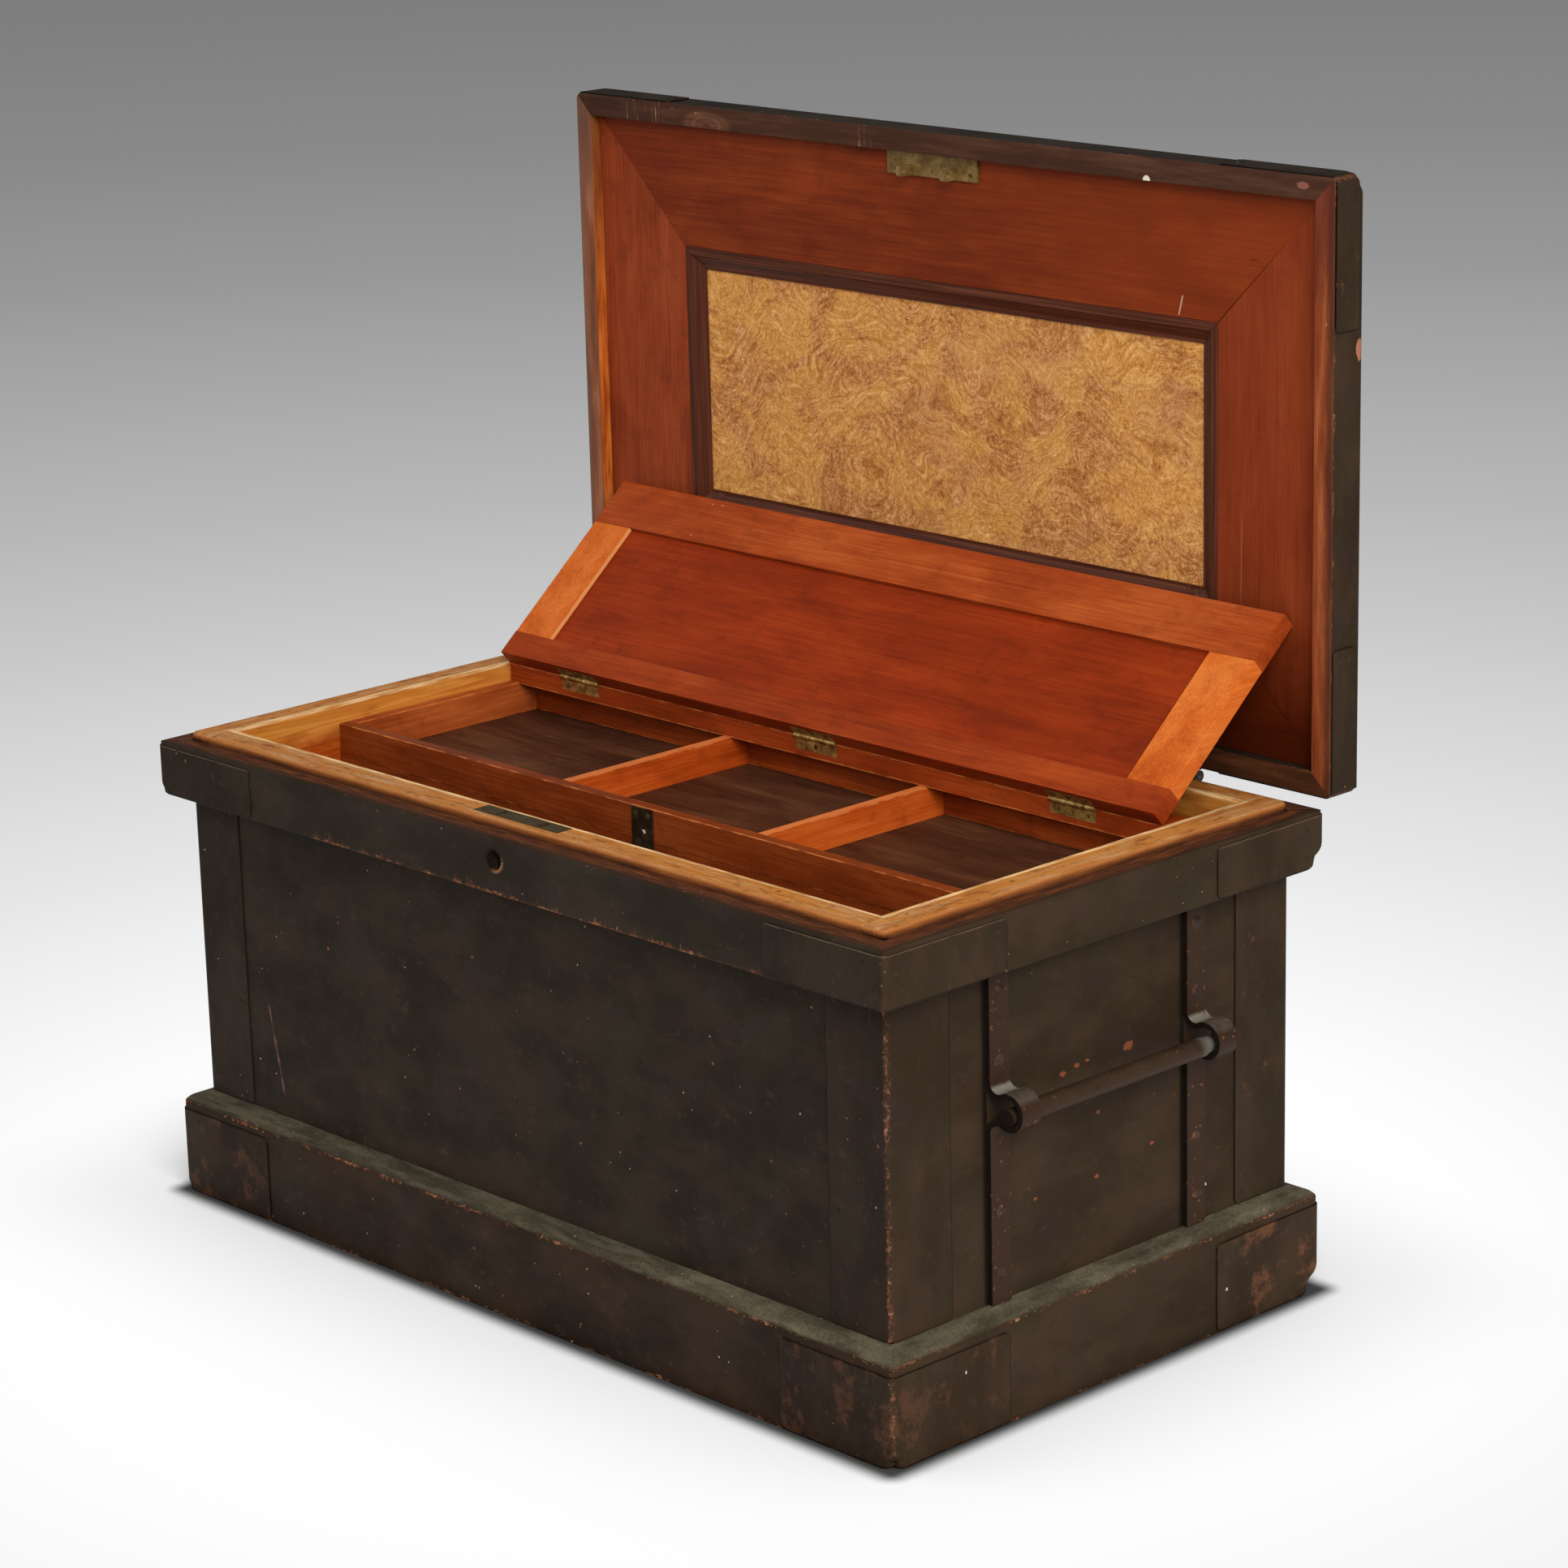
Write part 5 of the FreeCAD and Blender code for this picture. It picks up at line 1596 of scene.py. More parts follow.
@dataclass
class Carcass:
    """The dovetailed box: painted outside, honey coloured inside and on its lip."""

    lip_foot: float = 414.0
    lip_top: float = 421.7
    bright_above: float = 398.0
    inner_arris: float = 21.6
    rim_tones: tuple[Triple, ...] = ((44, 27, 22), (84, 45, 28), (134, 76, 38), (172, 108, 54))
    scratch_x: float = -326.5
    scratch_z: float = 154.0
    scratch_lean: float = 0.198
    strap_edges: tuple[float, ...] = (-123.8, 102.2)
    dirt_top: float = 366.0
    rust_spots: tuple[tuple[Triple, float], ...] = (
        ((425, -38, 260), 2.6), ((425, -22, 263), 2.2), ((425, -10, 264), 1.6),
        ((425, 37.5, 264), 4.2), ((425, 2, 218), 1.6), ((425, 65, 175), 1.8),
        ((425, 0, 165), 1.8), ((425, -70, 166), 1.6),
    )

    def build(self) -> None:
        """Dresses the four walls, the bottom and the till's runners."""
        for i, side in enumerate(SIDES):
            self.wall(f"carcass_{side}", Axis.X if side in ("front", "back") else Axis.Y,
                      90.0 + 7 * i)
        for i, node in enumerate(("bottom_boards", "till_runner_left", "till_runner_right")):
            graph = Graph(node + "_pine")
            layer = HoneyPine(Axis.Y, 130.0 + 5 * i).lay(graph)
            dress(NODES[node], graph.finish(layer))

    def wall(self, node: str, grain: Axis, seed: float) -> None:
        """One wall.

        Args:
            node: Its node.
            grain: The way of its grain.
            seed: Its own pattern.
        """
        piece = eased(node, 2.4, 120.0, 3)
        graph = Graph(node + "_wood")
        walls = Extent.walls()
        depth = (walls.high.x - abs(graph.x)).least(abs(walls.low.y) - abs(graph.y))
        pine = self.lip(graph, depth, grain, seed)
        paint = OldPaint(grain, seed).lay(graph)
        covered = depth.rise(1.2, 0.4) * graph.z.rise(self.lip_foot + 0.5, self.lip_foot - 1.5)
        layer = pine.covered(paint, covered)
        if node == "carcass_right":
            layer = self.stains(graph, layer, seed)
        if node == "carcass_front":
            layer = self.scratched(graph, layer, seed)
        dress(piece, graph.finish(layer))

    def lip(self, graph: Graph, depth: Value, grain: Axis, seed: float) -> Surface:
        """The bare pine, bright inside, with the lip that many tools have rubbed, and painted shade
        and highlight on the lip.

        Args:
            graph: The tree that it goes into.
            depth: How far a point lies inside the wall's face.
            grain: The way of the wall's grain.
            seed: Its own pattern.

        Returns:
            The wood.
        """
        pine = HoneyPine(grain, seed).lay(graph)
        shade = graph.z.rise(self.bright_above + 12, self.bright_above - 12)
        pine = pine.tinted(shade * 0.75, (206, 106, 40), "MULTIPLY")
        stain = graph.noise(grain.along(44, 5), seed + 25, 5, 0.7)
        # The lip's outer side goes dark to light upwards: partly wood colour, partly painted shade
        # and light.
        height = (graph.z + stain * 7 - 3.5 - self.lip_foot) / (self.lip_top - self.lip_foot)
        rim = graph.ramp(height, list(zip((0.0, 0.25, 0.55, 0.9), self.rim_tones)))
        pine = pine.covered(Surface(rim, 0.42, 0.0, pine.height), depth.rise(5.0, 1.5) * 0.95)
        up = graph.facing[2].rise(0.5, 0.9) * graph.z.rise(self.lip_top - 4, self.lip_top - 2)
        pale = graph.noise(grain.along(60, 6), seed + 27, 5, 0.68).rise(0.46, 0.64)
        dirty = graph.noise(grain.along(22, 7), seed + 28, 6, 0.75).rise(0.5, 0.64)
        bruise = graph.specks(16.0, 0.35, 2.6, seed + 36)
        # Painted highlight: a near-white line along the lip's arris on the well side, broken by
        # noise.
        painted_highlight = (depth - self.inner_arris).rise(0.0, 1.4)
        painted_highlight = painted_highlight * graph.z.rise(self.lip_top - 3, self.lip_top - 1)
        spots = graph.noise(grain.along(30, 2), seed + 29, 4).rise(0.36, 0.6)
        return pine.coated(
            (up * 0.5, (168, 106, 54)),
            (up * pale * 0.7, (196, 152, 106)),
            (up * dirty * 0.6, (112, 64, 34)),
            (up * bruise * 0.6, (74, 42, 26)),
            (painted_highlight * spots * 0.85, (250, 214, 156)),
        )

    def scratched(self, graph: Graph, layer: Surface, seed: float) -> Surface:
        """The long leaning scratch on the front.

        Args:
            graph: The tree that it goes into.
            layer: The painted layer.
            seed: Its own pattern.

        Returns:
            The layer with the scratch.
        """
        up = graph.z - self.scratch_z
        away = graph.x - self.scratch_x + up * self.scratch_lean
        ragged = graph.noise((1.6, 1.6, 9), seed + 33, 5, 0.7) * 2.6 - 1.3
        wide = graph.noise((60, 60, 16), seed + 35, 3).rise(0.36, 0.6) * 1.6 + 0.7
        line = (wide - abs(away + ragged * 0.8)).rise(0.0, 0.9) * abs(up).rise(42, 34)
        return layer.tinted(line * ragged.rise(-0.6, 0.2) * 0.65, (118, 86, 78))

    def stains(self, graph: Graph, layer: Surface, seed: float) -> Surface:
        """Painted shadow beside the straps, and rust that has run and sprung on the right end, near
        the lifting bar.

        Args:
            graph: The tree that it goes into.
            layer: The painted layer.
            seed: Its own pattern.

        Returns:
            The layer with the painted shadow and the rust.
        """
        # Painted shadow: a dark strip on the wall along the front side of each strap.
        for edge in self.strap_edges:
            dirt = (graph.y - edge).rise(-6.5, -1.5) * (graph.y - edge).rise(2.0, 0.0)
            below = graph.z.rise(self.dirt_top + 6, self.dirt_top)
            layer = layer.tinted(dirt * below * 0.85, (16, 12, 9))
        rough = graph.noise(3.0, seed + 34, 5, 0.75)
        for place, size in self.rust_spots:
            here = graph.near(place, (9, size * 2.4, size * 1.5))
            spot = (here + (rough - 0.5) * 1.6).rise(0.25, 0.6) * here.rise(0.0, 0.2)
            layer = layer.tinted(spot * 0.85, (138, 76, 46))
        return layer


@dataclass(frozen=True)
class PlateLook:
    """What sets one set of plates apart from the others."""

    dark: Triple = (36, 28, 20)
    light: Triple = (48, 38, 27)
    bend_wear: float = 0.26
    ruddy_from: float = 0.62
    # How strong the painted shadow along the plates' edges is, and its colour.
    rim: float = 0.7
    rim_tone: Triple = (22, 16, 12)


@dataclass
class SheetIron:
    """Thin iron plates nailed round the corners, painted with the wood."""

    bend: float = 2.1
    lid_knocks: tuple[Knock, ...] = (
        Knock((446.2, 298.9, 922.4), (1, 1, 1), 18.0),
        Knock((-446.2, 298.9, 922.4), (-1, 1, 1), 14.0),
        Knock((446.2, 256.7, 922.4), (1, -1, 1), 5.0),
        Knock((-446.2, 256.7, 922.4), (-1, -1, 1), 6.0),
    )

    def build(self) -> None:
        """Dresses the plates on the chest and the lid."""
        boards = PaintedBoards()
        sets = (
            ("corner_irons", (), PlateLook((35, 26, 19), (46, 35, 26))),
            ("band_corner_plates", boards.band_knocks,
             PlateLook(bend_wear=0.04, rim=0.5, rim_tone=(26, 20, 15))),
            ("plinth_corner_plates", boards.foot_knocks,
             PlateLook((36, 25, 17), (52, 37, 26), 0.17, 0.52)),
            ("lid_corner_plates", self.lid_knocks, PlateLook()),
        )
        for i, (node, knocks, look) in enumerate(sets):
            self.plates(eased(node, 0.0, knocks=knocks), node, look, 150.0 + 9 * i)

    def plates(self, piece: bpy.types.Object, node: str, look: PlateLook, seed: float) -> None:
        """One set of plates.

        Args:
            piece: The piece that stands for them.
            node: Their node.
            look: What sets them apart.
            seed: Their own pattern.
        """
        graph = Graph(node + "_iron")
        extent = Extent.of(node)
        points = [vertex.co / MM for vertex in NODES[node].data.vertices]
        middle = (extent.low + extent.high) / 2
        across, up = (graph.y, 1) if node != "lid_corner_plates" else (graph.z, 2)
        rest = 3 - up
        third = graph.y if rest == 1 else graph.z
        far = abs(graph.x)
        side = abs(across - middle[up])
        ends = (third - extent.low[rest]).least(extent.high[rest] - third)
        corner = (extent.high.x - far).most(extent.high[up] - middle[up] - side) - self.bend
        edge = (far - min(abs(p.x) for p in points)).least(
            side - min(abs(p[up] - middle[up]) for p in points)).least(ends)
        paint = OldPaint(Axis.Z, seed, look.dark, look.light)
        # Painted shadow: a dark line along the plates' edges.
        layer = paint.lay(graph).tinted(edge.rise(1.1, 0.3) * look.rim, look.rim_tone)
        if node == "band_corner_plates":
            # Painted highlight: a light line along the top edges of the band's plates.
            top = (extent.high.z - graph.z + graph.noise(7.0, seed + 27) * 1.6 - 0.8).rise(1.2, 0.2)
            layer = layer.tinted(top * 0.55, (112, 92, 74))
        gone = paint.rubbed(graph, corner, 5.5, look.bend_wear)
        gone = gone.most(paint.rubbed(graph, ends, 4.0, 0.06))
        patches = graph.noise(34.0, seed + 28, 7, 0.74).rise(look.ruddy_from,
                                                             look.ruddy_from + 0.1)
        behind = graph.x.rise(300, 440) * graph.y.rise(100, 200)
        layer = layer.tinted(patches * (behind * 0.4 + 0.26), (112, 72, 48))
        layer = layer.covered(Rust(seed).lay(graph), gone)
        pale = graph.noise(2.4, seed + 35, 4, 0.7).rise(0.62, 0.7) * corner.rise(4.0, 0.5)
        layer = layer.tinted(pale * 0.6, (170, 150, 128))
        dress(piece, graph.finish(layer))


@dataclass
class Fittings:
    """Iron, steel and brass that keep their node's own shape."""

    straps: tuple[str, ...] = ("handle_straps_left", "handle_straps_right")
    bars: tuple[str, ...] = ("handle_bar_left", "handle_bar_right")
    leaves: tuple[str, ...] = ("lid_hinge_chest_leaves", "lid_hinge_lid_leaves")
    steel: tuple[str, ...] = ("lock_case", "lock_bolt", "lid_hinge_pins")
    butts: tuple[str, ...] = ("flap_hinge_till_leaves", "flap_hinge_flap_leaves",
                              "flap_hinge_pins")
    crescent: Triple = (5.6, -90, 384.8)

    def build(self) -> None:
        """Dresses them all."""
        for i, node in enumerate(self.straps + self.bars + self.leaves):
            graph = Graph(node + "_forged")
            rust = 0.57 if node in self.straps else 0.62
            layer = ForgedIron(200.0 + 3 * i, rust).lay(graph)
            if node in self.straps:
                layer = self.strap(graph, layer, i)
            elif node in self.bars:
                layer = self.bar(graph, layer, i)
            dress(NODES[node], graph.finish(layer, 0.14))
        for i, node in enumerate(self.steel):
            graph = Graph(node + "_steel")
            dress(NODES[node], graph.finish(OldSteel(230.0 + 3 * i).lay(graph), 0.5))
        for i, node in enumerate(self.butts, 1):
            brass = AgedBrass(250.0 + 3 * i, (112, 84, 40), (166, 128, 66), (212, 178, 110))
            graph = Graph(node + "_brass")
            glints = graph.specks(5.0, 0.35, 1.0, 262.0 + i)
            layer = brass.lay(graph).tinted(glints * 0.8, (236, 214, 160))
            dress(NODES[node], graph.finish(layer, 0.3))
        self.plates()

    def strap(self, graph: Graph, layer: Surface, i: int) -> Surface:
        """The straps that carry a bar, rubbed grey and partly painted highlight where it swings
        past them, with painted shade on their sides that face the front.

        Args:
            graph: The tree that it goes into.
            layer: The bare iron.
            i: The pair's number.

        Returns:
            The finished layer.
        """
        # Painted highlight and rubbing: the bends' upward faces above the eyes go grey.
        lit = graph.facing[2].rise(0.3, 0.75) * graph.z.rise(262, 268)
        lit = lit * (abs(graph.x).rise(447, 438) * 0.75 + 0.25)
        rubbed = graph.noise(9.0, 240.0 + i).rise(0.25, 0.5)
        return layer.coated(
            (0.85, (52, 32, 18)),
            (graph.specks(4.2, 0.6, 1.7, 244.0 + i) * 0.65, (124, 78, 50)),
            (lit * rubbed * 0.85, (132, 125, 112)),
            # Painted shade: the sides that face the front go near black.
            (graph.facing[1].rise(-0.55, -0.9) * 0.85, (18, 13, 10)),
        )

    def bar(self, graph: Graph, layer: Surface, i: int) -> Surface:
        """A lifting bar, pitted, with a bright far end.

        Args:
            graph: The tree that it goes into.
            layer: The bare iron.
            i: The bar's number.

        Returns:
            The finished layer.
        """
        pits = graph.noise((7, 12, 7), 252.0 + i, 5, 0.75).rise(0.54, 0.64)
        return layer.coated(
            (0.85, (58, 41, 27)),
            (graph.specks(5.0, 0.45, 1.4, 244.0 + i) * 0.6, (116, 74, 48)),
            (pits * 0.5, (34, 24, 18)),
            (graph.y.rise(88, 101) * 0.5, (134, 131, 124)),
            (abs(graph.facing[1]).rise(0.8, 0.95) * 0.9, (24, 18, 14)),
        )

    def plates(self) -> None:
        """Dresses the three flat plates of the locks."""
        graph = Graph("till_lock_plate_brass")
        black = AgedBrass(250.0, (30, 22, 15), (42, 32, 22), (62, 50, 34), 0.2)
        # Painted highlight: a near-white glint on the till's lock plate.
        bright = graph.near(self.crescent, (2.6, 4, 2.0), 0.3)
        layer = black.lay(graph).tinted(bright, (235, 228, 216))
        dress(NODES["till_lock_plate"], graph.finish(layer, 0.3))
        graph = Graph("lid_link_plate_brass")
        link = AgedBrass(270.0, (104, 80, 42), (128, 101, 55), (150, 122, 74), 0.4)
        dress(NODES["lid_link_plate"], graph.finish(link.lay(graph), 0.2))
        graph = Graph("lock_selvage_brass")
        dull = AgedBrass(273.0, (50, 42, 29), (64, 55, 38), (80, 70, 48), 0.1)
        layer = dull.lay(graph).tinted(0.5, (76, 63, 38))
        dress(NODES["lock_selvage"], graph.finish(layer, 0.05))


@dataclass(frozen=True)
class SkirtLook:
    """What sets one skirt board's bare edge apart from the others."""

    tones: tuple[Triple, ...]
    rim: Triple = (116, 86, 70)
    aged: Triple = (100, 70, 56)


@dataclass
class Lid:
    """The lid: painted skirt and boards, mahogany frame, burr panel."""

    underside: float = 256.7
    opening_x: float = 316.0
    opening_top: float = 792.2
    opening_foot: float = 529.0
    knot_place: Triple = (-271, 257, 905)
    scratches_x: tuple[float, ...] = (-372, -340, -75)
    lime_spot: Triple = (250, 257, 902.7)
    front_chip: Triple = (413, 257, 913)
    end_chip: Triple = (445, 289, 783)
    flaked: Triple = (422, 257, 798)
    scar_x: float = 277.0
    scar_z: float = 802.5
    dark_scar: Triple = (354, 267, 847)
    pale_scar: Triple = (342, 267, 600)

    def build(self) -> None:
        """Dresses the wooden parts of the lid."""
        looks = (
            ("front", SkirtLook(((72, 45, 33), (98, 61, 43), (122, 84, 62)))),
            ("back", SkirtLook(((62, 36, 22), (84, 48, 28), (108, 66, 40)))),
            ("left", SkirtLook(((104, 62, 44), (138, 82, 56), (164, 110, 82)))),
            ("right", SkirtLook(((108, 48, 24), (136, 66, 34), (160, 90, 52)),
                                (52, 36, 30), (82, 38, 30))),
        )
        for i, (side, look) in enumerate(looks):
            self.skirt(side, look, 300.0 + 7 * i)
        graph = Graph("lid_boards_paint")
        dress(NODES["lid_top_boards"], graph.finish(OldPaint(Axis.X, 330.0).lay(graph)))
        frames = (
            ("lid_frame_rails", (136, 56, 20),
             Mahogany(Axis.X, 340.0, (96, 34, 14), (116, 45, 17), (136, 57, 23))),
            ("lid_frame_stiles", (112, 42, 15),
             Mahogany(Axis.Z, 349.0, (112, 44, 20), (136, 57, 27), (152, 70, 36))),
        )
        for node, warm, wood in frames:
            piece = eased(node, 0.7, steps=1)
            graph = Graph(node + "_mahogany")
            layer = self.scars(graph, wood.lay(graph))
            layer = layer.tinted(graph.x.rise(-100, 340) * 0.4, warm)
            # Painted shadow: the frame's lower part, behind the flap, is darkened.
            layer = layer.tinted(graph.z.rise(575, 450) * 0.75, (92, 70, 62), "MULTIPLY")
            dress(piece, graph.finish(layer))
        graph = Graph("burr_panel_veneer")
        dress(NODES["burr_panel"], graph.finish(BurrVeneer(360.0).lay(graph)))
        self.moulding()

    def knot(self, graph: Graph, edge: Surface) -> Surface:
        """The knot and the scratches on the lower edge of the lid's front board.

        Args:
            graph: The tree that it goes into.
            edge: The bare edge.

        Returns:
            The edge with its marks.
        """
        away = graph.vector("SUBTRACT", graph.place, self.knot_place)
        ring = abs(graph.length(graph.vector("DIVIDE", away, (17, 30, 7))) - 1)
        thin = graph.noise((1.6, 1.6, 30), 338.0, 4, 0.6).rise(0.56, 0.66)
        torn = graph.noise(7.0, 339.0, 5, 0.75) * 1.2 - 0.6
        chip = (graph.near(self.front_chip, (10, 9, 5)) + torn).rise(0.3, 0.5)
        return edge.coated(
            (ring.rise(0.16, 0.02) * 0.35, (128, 94, 72)),
            (ring.rise(0.5, 1.0) * 0.6, (44, 26, 20)),
            *((abs(graph.x - x).rise(14, 4) * thin * 0.7, (178, 132, 98))
              for x in self.scratches_x),
            (graph.near(self.lime_spot, (4.5, 8, 4.5), 0.3) * 0.9, (232, 222, 208)),
            (chip * 0.6, (158, 102, 84)),
        )

    def scars(self, graph: Graph, layer: Surface) -> Surface:
        """The few marks on the lid's frame that stand out.

        Args:
            graph: The tree that it goes into.
            layer: The wood.

        Returns:
            The wood with its marks.
        """
        up = graph.z - self.scar_z
        lean = graph.x - self.scar_x - up * 0.25
        white = abs(lean).rise(1.1, 0.4) * abs(up).rise(9, 7)
        return layer.coated(
            (white * 0.85, (222, 190, 160)),
            (graph.near(self.dark_scar, (7, 6, 1.6), 0.7) * 0.8, (62, 20, 10)),
            (graph.near(self.pale_scar, (0.8, 6, 50), 0.5) * 0.55, (176, 118, 92)),
        )

    def moulding(self) -> None:
        """Dresses the dark moulding round the panel, its lines along each member."""
        graph = Graph("lid_moulding_wood")
        middle = (self.opening_top + self.opening_foot) / 2
        rise = abs(graph.z - middle) - (self.opening_top - self.opening_foot) / 2
        run = abs(graph.x) - self.opening_x
        level = (rise - run).rise(-0.4, 0.4)
        along = graph.noise((170, 1.4, 1.4), 370.0, 4, 0.6)
        upright = graph.noise((1.4, 1.4, 170), 371.0, 4, 0.6)
        lines = graph.between(level, upright, along)
        colour = graph.ramp(lines, [(0.34, (58, 26, 16)), (0.52, (82, 41, 25)),
                                    (0.7, (110, 60, 39))])
        layer = Surface(colour, 0.42, 0.0, (lines - 0.5) * 0.05)
        mitre = abs(rise - run).rise(0.7, 0.2)
        dress(NODES["lid_moulding"], graph.finish(layer.tinted(mitre * 0.7, (22, 10, 8)), 0.1))

    def skirt(self, side: str, look: SkirtLook, seed: float) -> None:
        """One skirt board, painted outside and bare on its lower edge.

        Args:
            side: The side of the lid that it is on.
            look: What sets it apart.
            seed: Its own pattern.
        """
        node = f"lid_skirt_{side}"
        at_end = side in ("left", "right")
        grain = Axis.Z if at_end else Axis.X
        piece = eased(node, 1.2, knocks=() if side == "back" else SheetIron().lid_knocks)
        graph = Graph(node + "_paint")
        paint = OldPaint(grain, seed)
        bare = paint.rubbed(graph, Extent.of(node).edge(graph), 8.0, 0.2)
        layer = paint.lay(graph).covered(BareWood(grain, seed).lay(graph), bare)
        edge = self.edge(graph, look, grain, seed)
        if at_end:
            edge = self.end_edge(graph, edge, look, seed)
        if side == "front":
            edge = self.knot(graph, edge)
        layer = layer.covered(edge, (graph.y - self.underside).rise(1.6, 0.4))
        if at_end:
            inward = graph.facing[0] * (-1.0 if side == "right" else 1.0)
            layer = layer.covered(self.inner_face(graph, seed), inward.rise(0.5, 0.8))
        if side == "right":
            torn = graph.noise(7.0, seed + 36, 5, 0.75) * 1.2 - 0.6
            chip = (graph.near(self.end_chip, (14, 7, 17)) + torn).rise(0.35, 0.5)
            # Painted highlight: a pale grey strip along the right skirt's rounded outer arris.
            crown = graph.facing[0].rise(0.98, 0.8) * graph.facing[1].rise(0.1, 0.5)
            layer = layer.coated((chip * 0.9, (176, 112, 88)), (crown * 0.2, (96, 86, 80)))
        dress(piece, graph.finish(layer))

    def edge(self, graph: Graph, look: SkirtLook, grain: Axis, seed: float) -> Surface:
        """A skirt board's bare lower edge.

        Args:
            graph: The tree that it goes into.
            look: What sets the board apart.
            grain: The way of its grain.
            seed: Its own pattern.

        Returns:
            The bare wood.
        """
        under = graph.noise(grain.along(120, 12), seed + 29, 5, 0.65)
        colour = graph.ramp(under, list(zip((0.36, 0.52, 0.66), look.tones)))
        return Surface(colour, 0.6).coated(
            (graph.scratches((12, 8, 0), 9, 0.5, 0.2, seed + 31) * 0.6, (160, 126, 104)),
            (graph.specks(16.0, 0.3, 1.3, seed + 32) * 0.75, (184, 140, 112)),
        )

    def end_edge(self, graph: Graph, edge: Surface, look: SkirtLook, seed: float) -> Surface:
        """The edge at an end of the lid, with its rim, its aged top and its flaked spot.

        Args:
            graph: The tree that it goes into.
            edge: The bare edge.
            look: What sets the board apart.
            seed: Its own pattern.

        Returns:
            The edge with its marks.
        """
        torn = graph.noise(Axis.Z.along(18, 3), seed + 34, 5, 0.7) * 8 - 4
        flakes = graph.near(self.flaked, (4, 8, 32)) * graph.specks(4.0, 0.5, 1.3, 331.0)
        return edge.coated(
            ((abs(graph.x) + torn).rise(435, 443) * 0.65, look.rim),
            (graph.z.rise(800, 900) * 0.6, look.aged),
            (flakes * 0.9, (228, 190, 150)),
        )

    def inner_face(self, graph: Graph, seed: float) -> Surface:
        """The clean face of an end board, inside the lid, with painted shadow towards the lid's
        top.

        Args:
            graph: The tree that it goes into.
            seed: Its own pattern.

        Returns:
            The bare wood.
        """
        glow = graph.noise(Axis.Z.along(60, 6), seed + 33, 4)
        colour = graph.ramp(glow, [(0.36, (150, 66, 20)), (0.5, (190, 96, 34)),
                                   (0.64, (212, 124, 56))])
        # Painted shadow: darker towards the top of the open lid, under the top skirt.
        return Surface(colour, 0.5).tinted(graph.z.rise(700, 880) * 0.75, (92, 46, 28))


@dataclass
class Till:
    """The sliding till and its flap, all in mahogany."""

    flap_free_above: float = 505.0
    flap_mark_x: float = -269.0
    shine: float = 0.1
    rubbed: Triple = (214, 128, 66)
    front: tuple[Triple, ...] = ((104, 40, 12), (124, 52, 17), (146, 68, 26))
    back: tuple[Triple, ...] = ((120, 46, 14), (150, 62, 20), (176, 80, 30))
    end: tuple[Triple, ...] = ((134, 56, 22), (164, 76, 31), (186, 96, 44))
    rail: tuple[Triple, ...] = ((116, 40, 10), (142, 52, 14), (166, 70, 24))

    def build(self) -> None:
        """Dresses the till's walls, dividers, bottom and rail, and the flap."""
        walls = (("till_front", Axis.X, self.front), ("till_back", Axis.X, self.back),
                 ("till_end_left", Axis.Y, self.end), ("till_end_right", Axis.Y, self.end),
                 ("till_hinge_rail", Axis.X, self.rail))
        for i, (node, grain, tones) in enumerate(walls):
            piece = eased(node, 0.8)
            graph = Graph(node + "_mahogany")
            edge = Extent.of(node).edge(graph)
            layer = Mahogany(grain, 400.0 + 7 * i, *tones, self.rubbed).lay(graph, edge)
            dress(piece, graph.finish(layer, self.shine))
        graph = Graph("till_dividers_mahogany")
        top = Extent.of("till_dividers").high.z - graph.z
        wood = Mahogany(Axis.Y, 440.0, (158, 58, 14), (190, 78, 22), (208, 100, 38),
                        (232, 140, 78))
        dress(NODES["till_dividers"], graph.finish(wood.lay(graph, top, 2.4), self.shine))
        graph = Graph("till_bottom_wood")
        wood = Mahogany(Axis.X, 447.0, (56, 31, 20), (80, 46, 29), (104, 64, 42), (140, 100, 74))
        face = Mahogany(Axis.X, 449.0, *self.front)
        shown = graph.facing[1].rise(-0.5, -0.8)
        layer = wood.lay(graph).covered(face.lay(graph), shown)
        dress(NODES["till_bottom"], graph.finish(layer))
        self.flap()

    def flap(self) -> None:
        """Dresses the flap's frame and panel."""
        free = Mahogany(Axis.X, 460.0, (134, 50, 14), (160, 66, 23), (182, 88, 38),
                        (218, 140, 88))
        hung = Mahogany(Axis.X, 463.0, (124, 42, 10), (148, 54, 14), (168, 70, 24))
        graph = Graph("flap_rails_mahogany")
        upper = graph.z.rise(self.flap_free_above - 10, self.flap_free_above + 10)
        pale = abs(graph.x - self.flap_mark_x).rise(16, 3) * graph.specks(6.0, 0.5, 2.0, 472.0)
        layer = hung.lay(graph).covered(free.lay(graph), upper)
        layer = layer.tinted(pale * upper * 0.8, (218, 150, 120))
        dress(eased("flap_rails", 0.8), graph.finish(layer, self.shine))
        graph = Graph("flap_stiles_mahogany")
        lit = Mahogany(Axis.Y, 466.0, (176, 74, 18), (204, 98, 32), (220, 120, 50),
                       (236, 160, 104))
        # Painted highlight: the left stile's face that looks along +X is lightened.
        painted_highlight = graph.facing[0].rise(0.6, 0.9) * graph.x.rise(-250, -330)
        layer = lit.lay(graph).tinted(painted_highlight * 0.85, (238, 166, 104))
        dress(eased("flap_stiles", 0.8), graph.finish(layer, self.shine))
        graph = Graph("flap_panel_mahogany")
        red = Mahogany(Axis.X, 469.0, (118, 36, 6), (140, 45, 8), (158, 56, 13))
        dress(NODES["flap_panel"], graph.finish(red.lay(graph), self.shine))


# ---------------------------------------------------------------- the studio


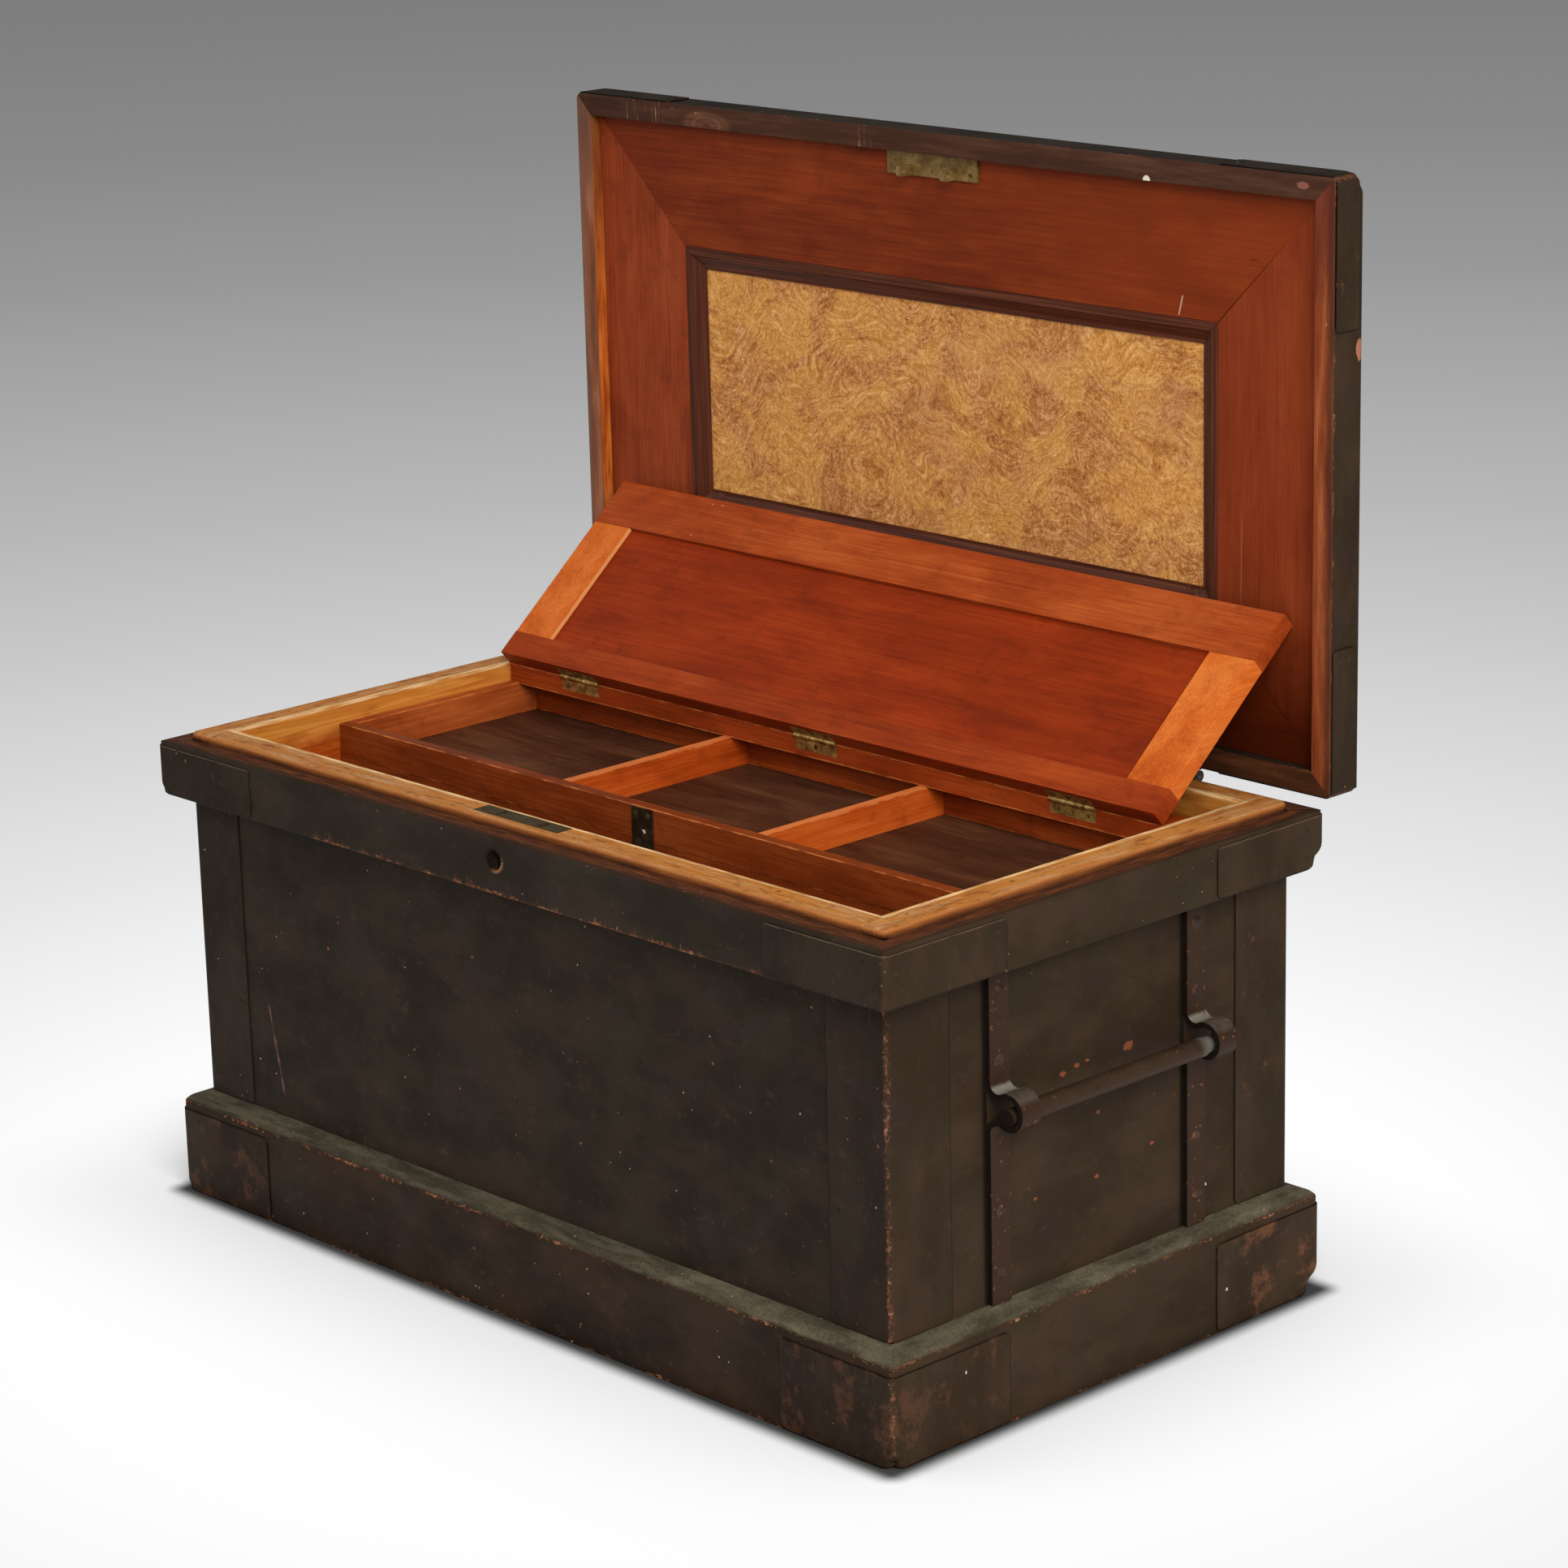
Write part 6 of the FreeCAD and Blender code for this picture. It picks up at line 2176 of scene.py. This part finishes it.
@dataclass
class Studio:
    """A pale floor, soft lamps and the camera."""

    camera_place: Triple = (2.6916, -2.4689, 1.4409)
    azimuth: float = 46.617
    elevation: float = 15.855
    roll: float = -1.447
    lens: float = 104.26
    sensor: float = 36.0
    sight: float = 200.0
    looked_at: Triple = (0.0, 0.0, 0.4)
    floor_radius: float = 40.0
    backdrop_grey: float = 129
    world_strength: float = 0.46
    shadow_tone: Triple = (14, 13, 12)
    greys: tuple[tuple[float, float], ...] = (
        (0.0, 255), (0.065, 254), (0.095, 243), (0.13, 230), (0.175, 216), (0.23, 200),
        (0.3, 184), (0.4, 168), (0.52, 151), (0.7, 137), (0.95, 128), (1.0, 127),
    )

    def build(self) -> None:
        """Sets them all up."""
        self.world()
        self.floor()
        self.lamp("key", (3.5, -2.0, 3.0), 2.6, 190.0)
        self.lamp("fill", (-3.2, -2.8, 2.4), 3.0, 32.0)
        self.camera()
        bpy.context.scene.view_settings.view_transform = "Standard"

    def seen(self, network: Network) -> Value:
        """1 for rays that should see the backdrop as it is.

        Args:
            network: The tree that it goes into.

        Returns:
            The number.
        """
        path = network.node("ShaderNodeLightPath")
        total = path.outputs["Is Camera Ray"]
        for name in ("Is Glossy Ray", "Is Transmission Ray"):
            settings = {"operation": "ADD", "use_clamp": True}
            total = network.node("ShaderNodeMath", settings,
                                 {0: total, 1: path.outputs[name]}).outputs[0]
        return Value(network, total)

    def world(self) -> None:
        """Soft light from all round, and a grey backdrop."""
        world = bpy.data.worlds.new("studio")
        bpy.context.scene.world = world
        world.use_nodes = True
        network = Network(world.node_tree)
        light = network.node("ShaderNodeBackground", inputs={
            "Color": srgb(255, 255, 255), "Strength": self.world_strength})
        back = network.node("ShaderNodeBackground", inputs={
            "Color": srgb(*(self.backdrop_grey,) * 3)})
        mixer = network.node("ShaderNodeMixShader", inputs={
            0: self.seen(network), 1: light.outputs[0], 2: back.outputs[0]})
        network.node("ShaderNodeOutputWorld", inputs={0: mixer.outputs[0]})

    def floor(self) -> None:
        """A large disc, white round the chest, where its shadow lies, and grey far away."""
        mesh = bmesh.new()
        bmesh.ops.create_circle(mesh, cap_ends=True, segments=96, radius=self.floor_radius)
        disc = linked("floor", plain(mesh, "floor"))
        graph = Graph("floor_paper")
        away = graph.length(graph.vector("MULTIPLY", graph.place, (MM, MM, 0)))
        colour = graph.ramp(away / 10, [(place, (grey,) * 3) for place, grey in self.greys])
        foot = Extent.of("plinth_front").low
        beyond_x = (abs(graph.x) - abs(foot.x)).most(0.0)
        beyond_y = (abs(graph.y) - abs(foot.y)).most(0.0)
        gap = graph.length(graph.gather(beyond_x, beyond_y, 0.0))
        shaded = graph.mix(gap.rise(24.0, 2.0) * 0.94, colour, srgb(*self.shadow_tone))
        paper = graph.node("ShaderNodeBsdfDiffuse", inputs={"Color": shaded})
        glow = graph.node("ShaderNodeEmission", inputs={"Color": colour})
        clear = gap.rise(-60.0, 260.0).most(away.rise(1.0, 1.4)) * gap.rise(4.0, 30.0)
        mixer = graph.node("ShaderNodeMixShader", inputs={
            0: clear * self.seen(graph), 1: paper.outputs[0], 2: glow.outputs[0]})
        graph.node("ShaderNodeOutputMaterial", inputs={"Surface": mixer.outputs[0]})
        disc.data.materials.append(graph.material)

    def lamp(self, name: str, place: Triple, size: float, power: float) -> None:
        """One soft lamp that looks at the chest's middle.

        Args:
            name: Its name.
            place: Where it hangs.
            size: The side of its square.
            power: Its power in watts.
        """
        data = bpy.data.lights.new(name, "AREA")
        data.size = size
        data.energy = power
        lamp = linked(name, data)
        lamp.location = place
        away = Vector(place) - Vector(self.looked_at)
        lamp.rotation_euler = away.to_track_quat("Z", "Y").to_euler()

    def camera(self) -> None:
        """The camera, a little rolled."""
        data = bpy.data.cameras.new("camera")
        data.lens = self.lens
        data.sensor_width = self.sensor
        data.clip_end = self.sight
        camera = linked("camera", data)
        azimuth, elevation, roll = (math.radians(a) for a in
                                    (self.azimuth, self.elevation, self.roll))
        forward = Vector((-math.sin(azimuth) * math.cos(elevation),
                          math.cos(azimuth) * math.cos(elevation), -math.sin(elevation)))
        right = Vector((math.cos(azimuth), math.sin(azimuth), 0.0))
        above = right.cross(forward)
        across = right * math.cos(roll) + above * math.sin(roll)
        upward = above * math.cos(roll) - right * math.sin(roll)
        turn = Matrix((across, upward, -forward)).transposed().to_4x4()
        camera.matrix_world = Matrix.Translation(self.camera_place) @ turn
        bpy.context.scene.camera = camera


def main() -> None:
    """Builds and dresses the chest, part by part."""
    logging.basicConfig(level=logging.INFO, format="%(name)s %(message)s")
    Studio().build()
    for part in (PaintedBoards(), Carcass(), SheetIron(), Fasteners(), Fittings(), Lid(),
                 Till()):
        LOG.info("building %s", type(part).__name__)
        part.build()


if __name__ == "__main__":
    main()
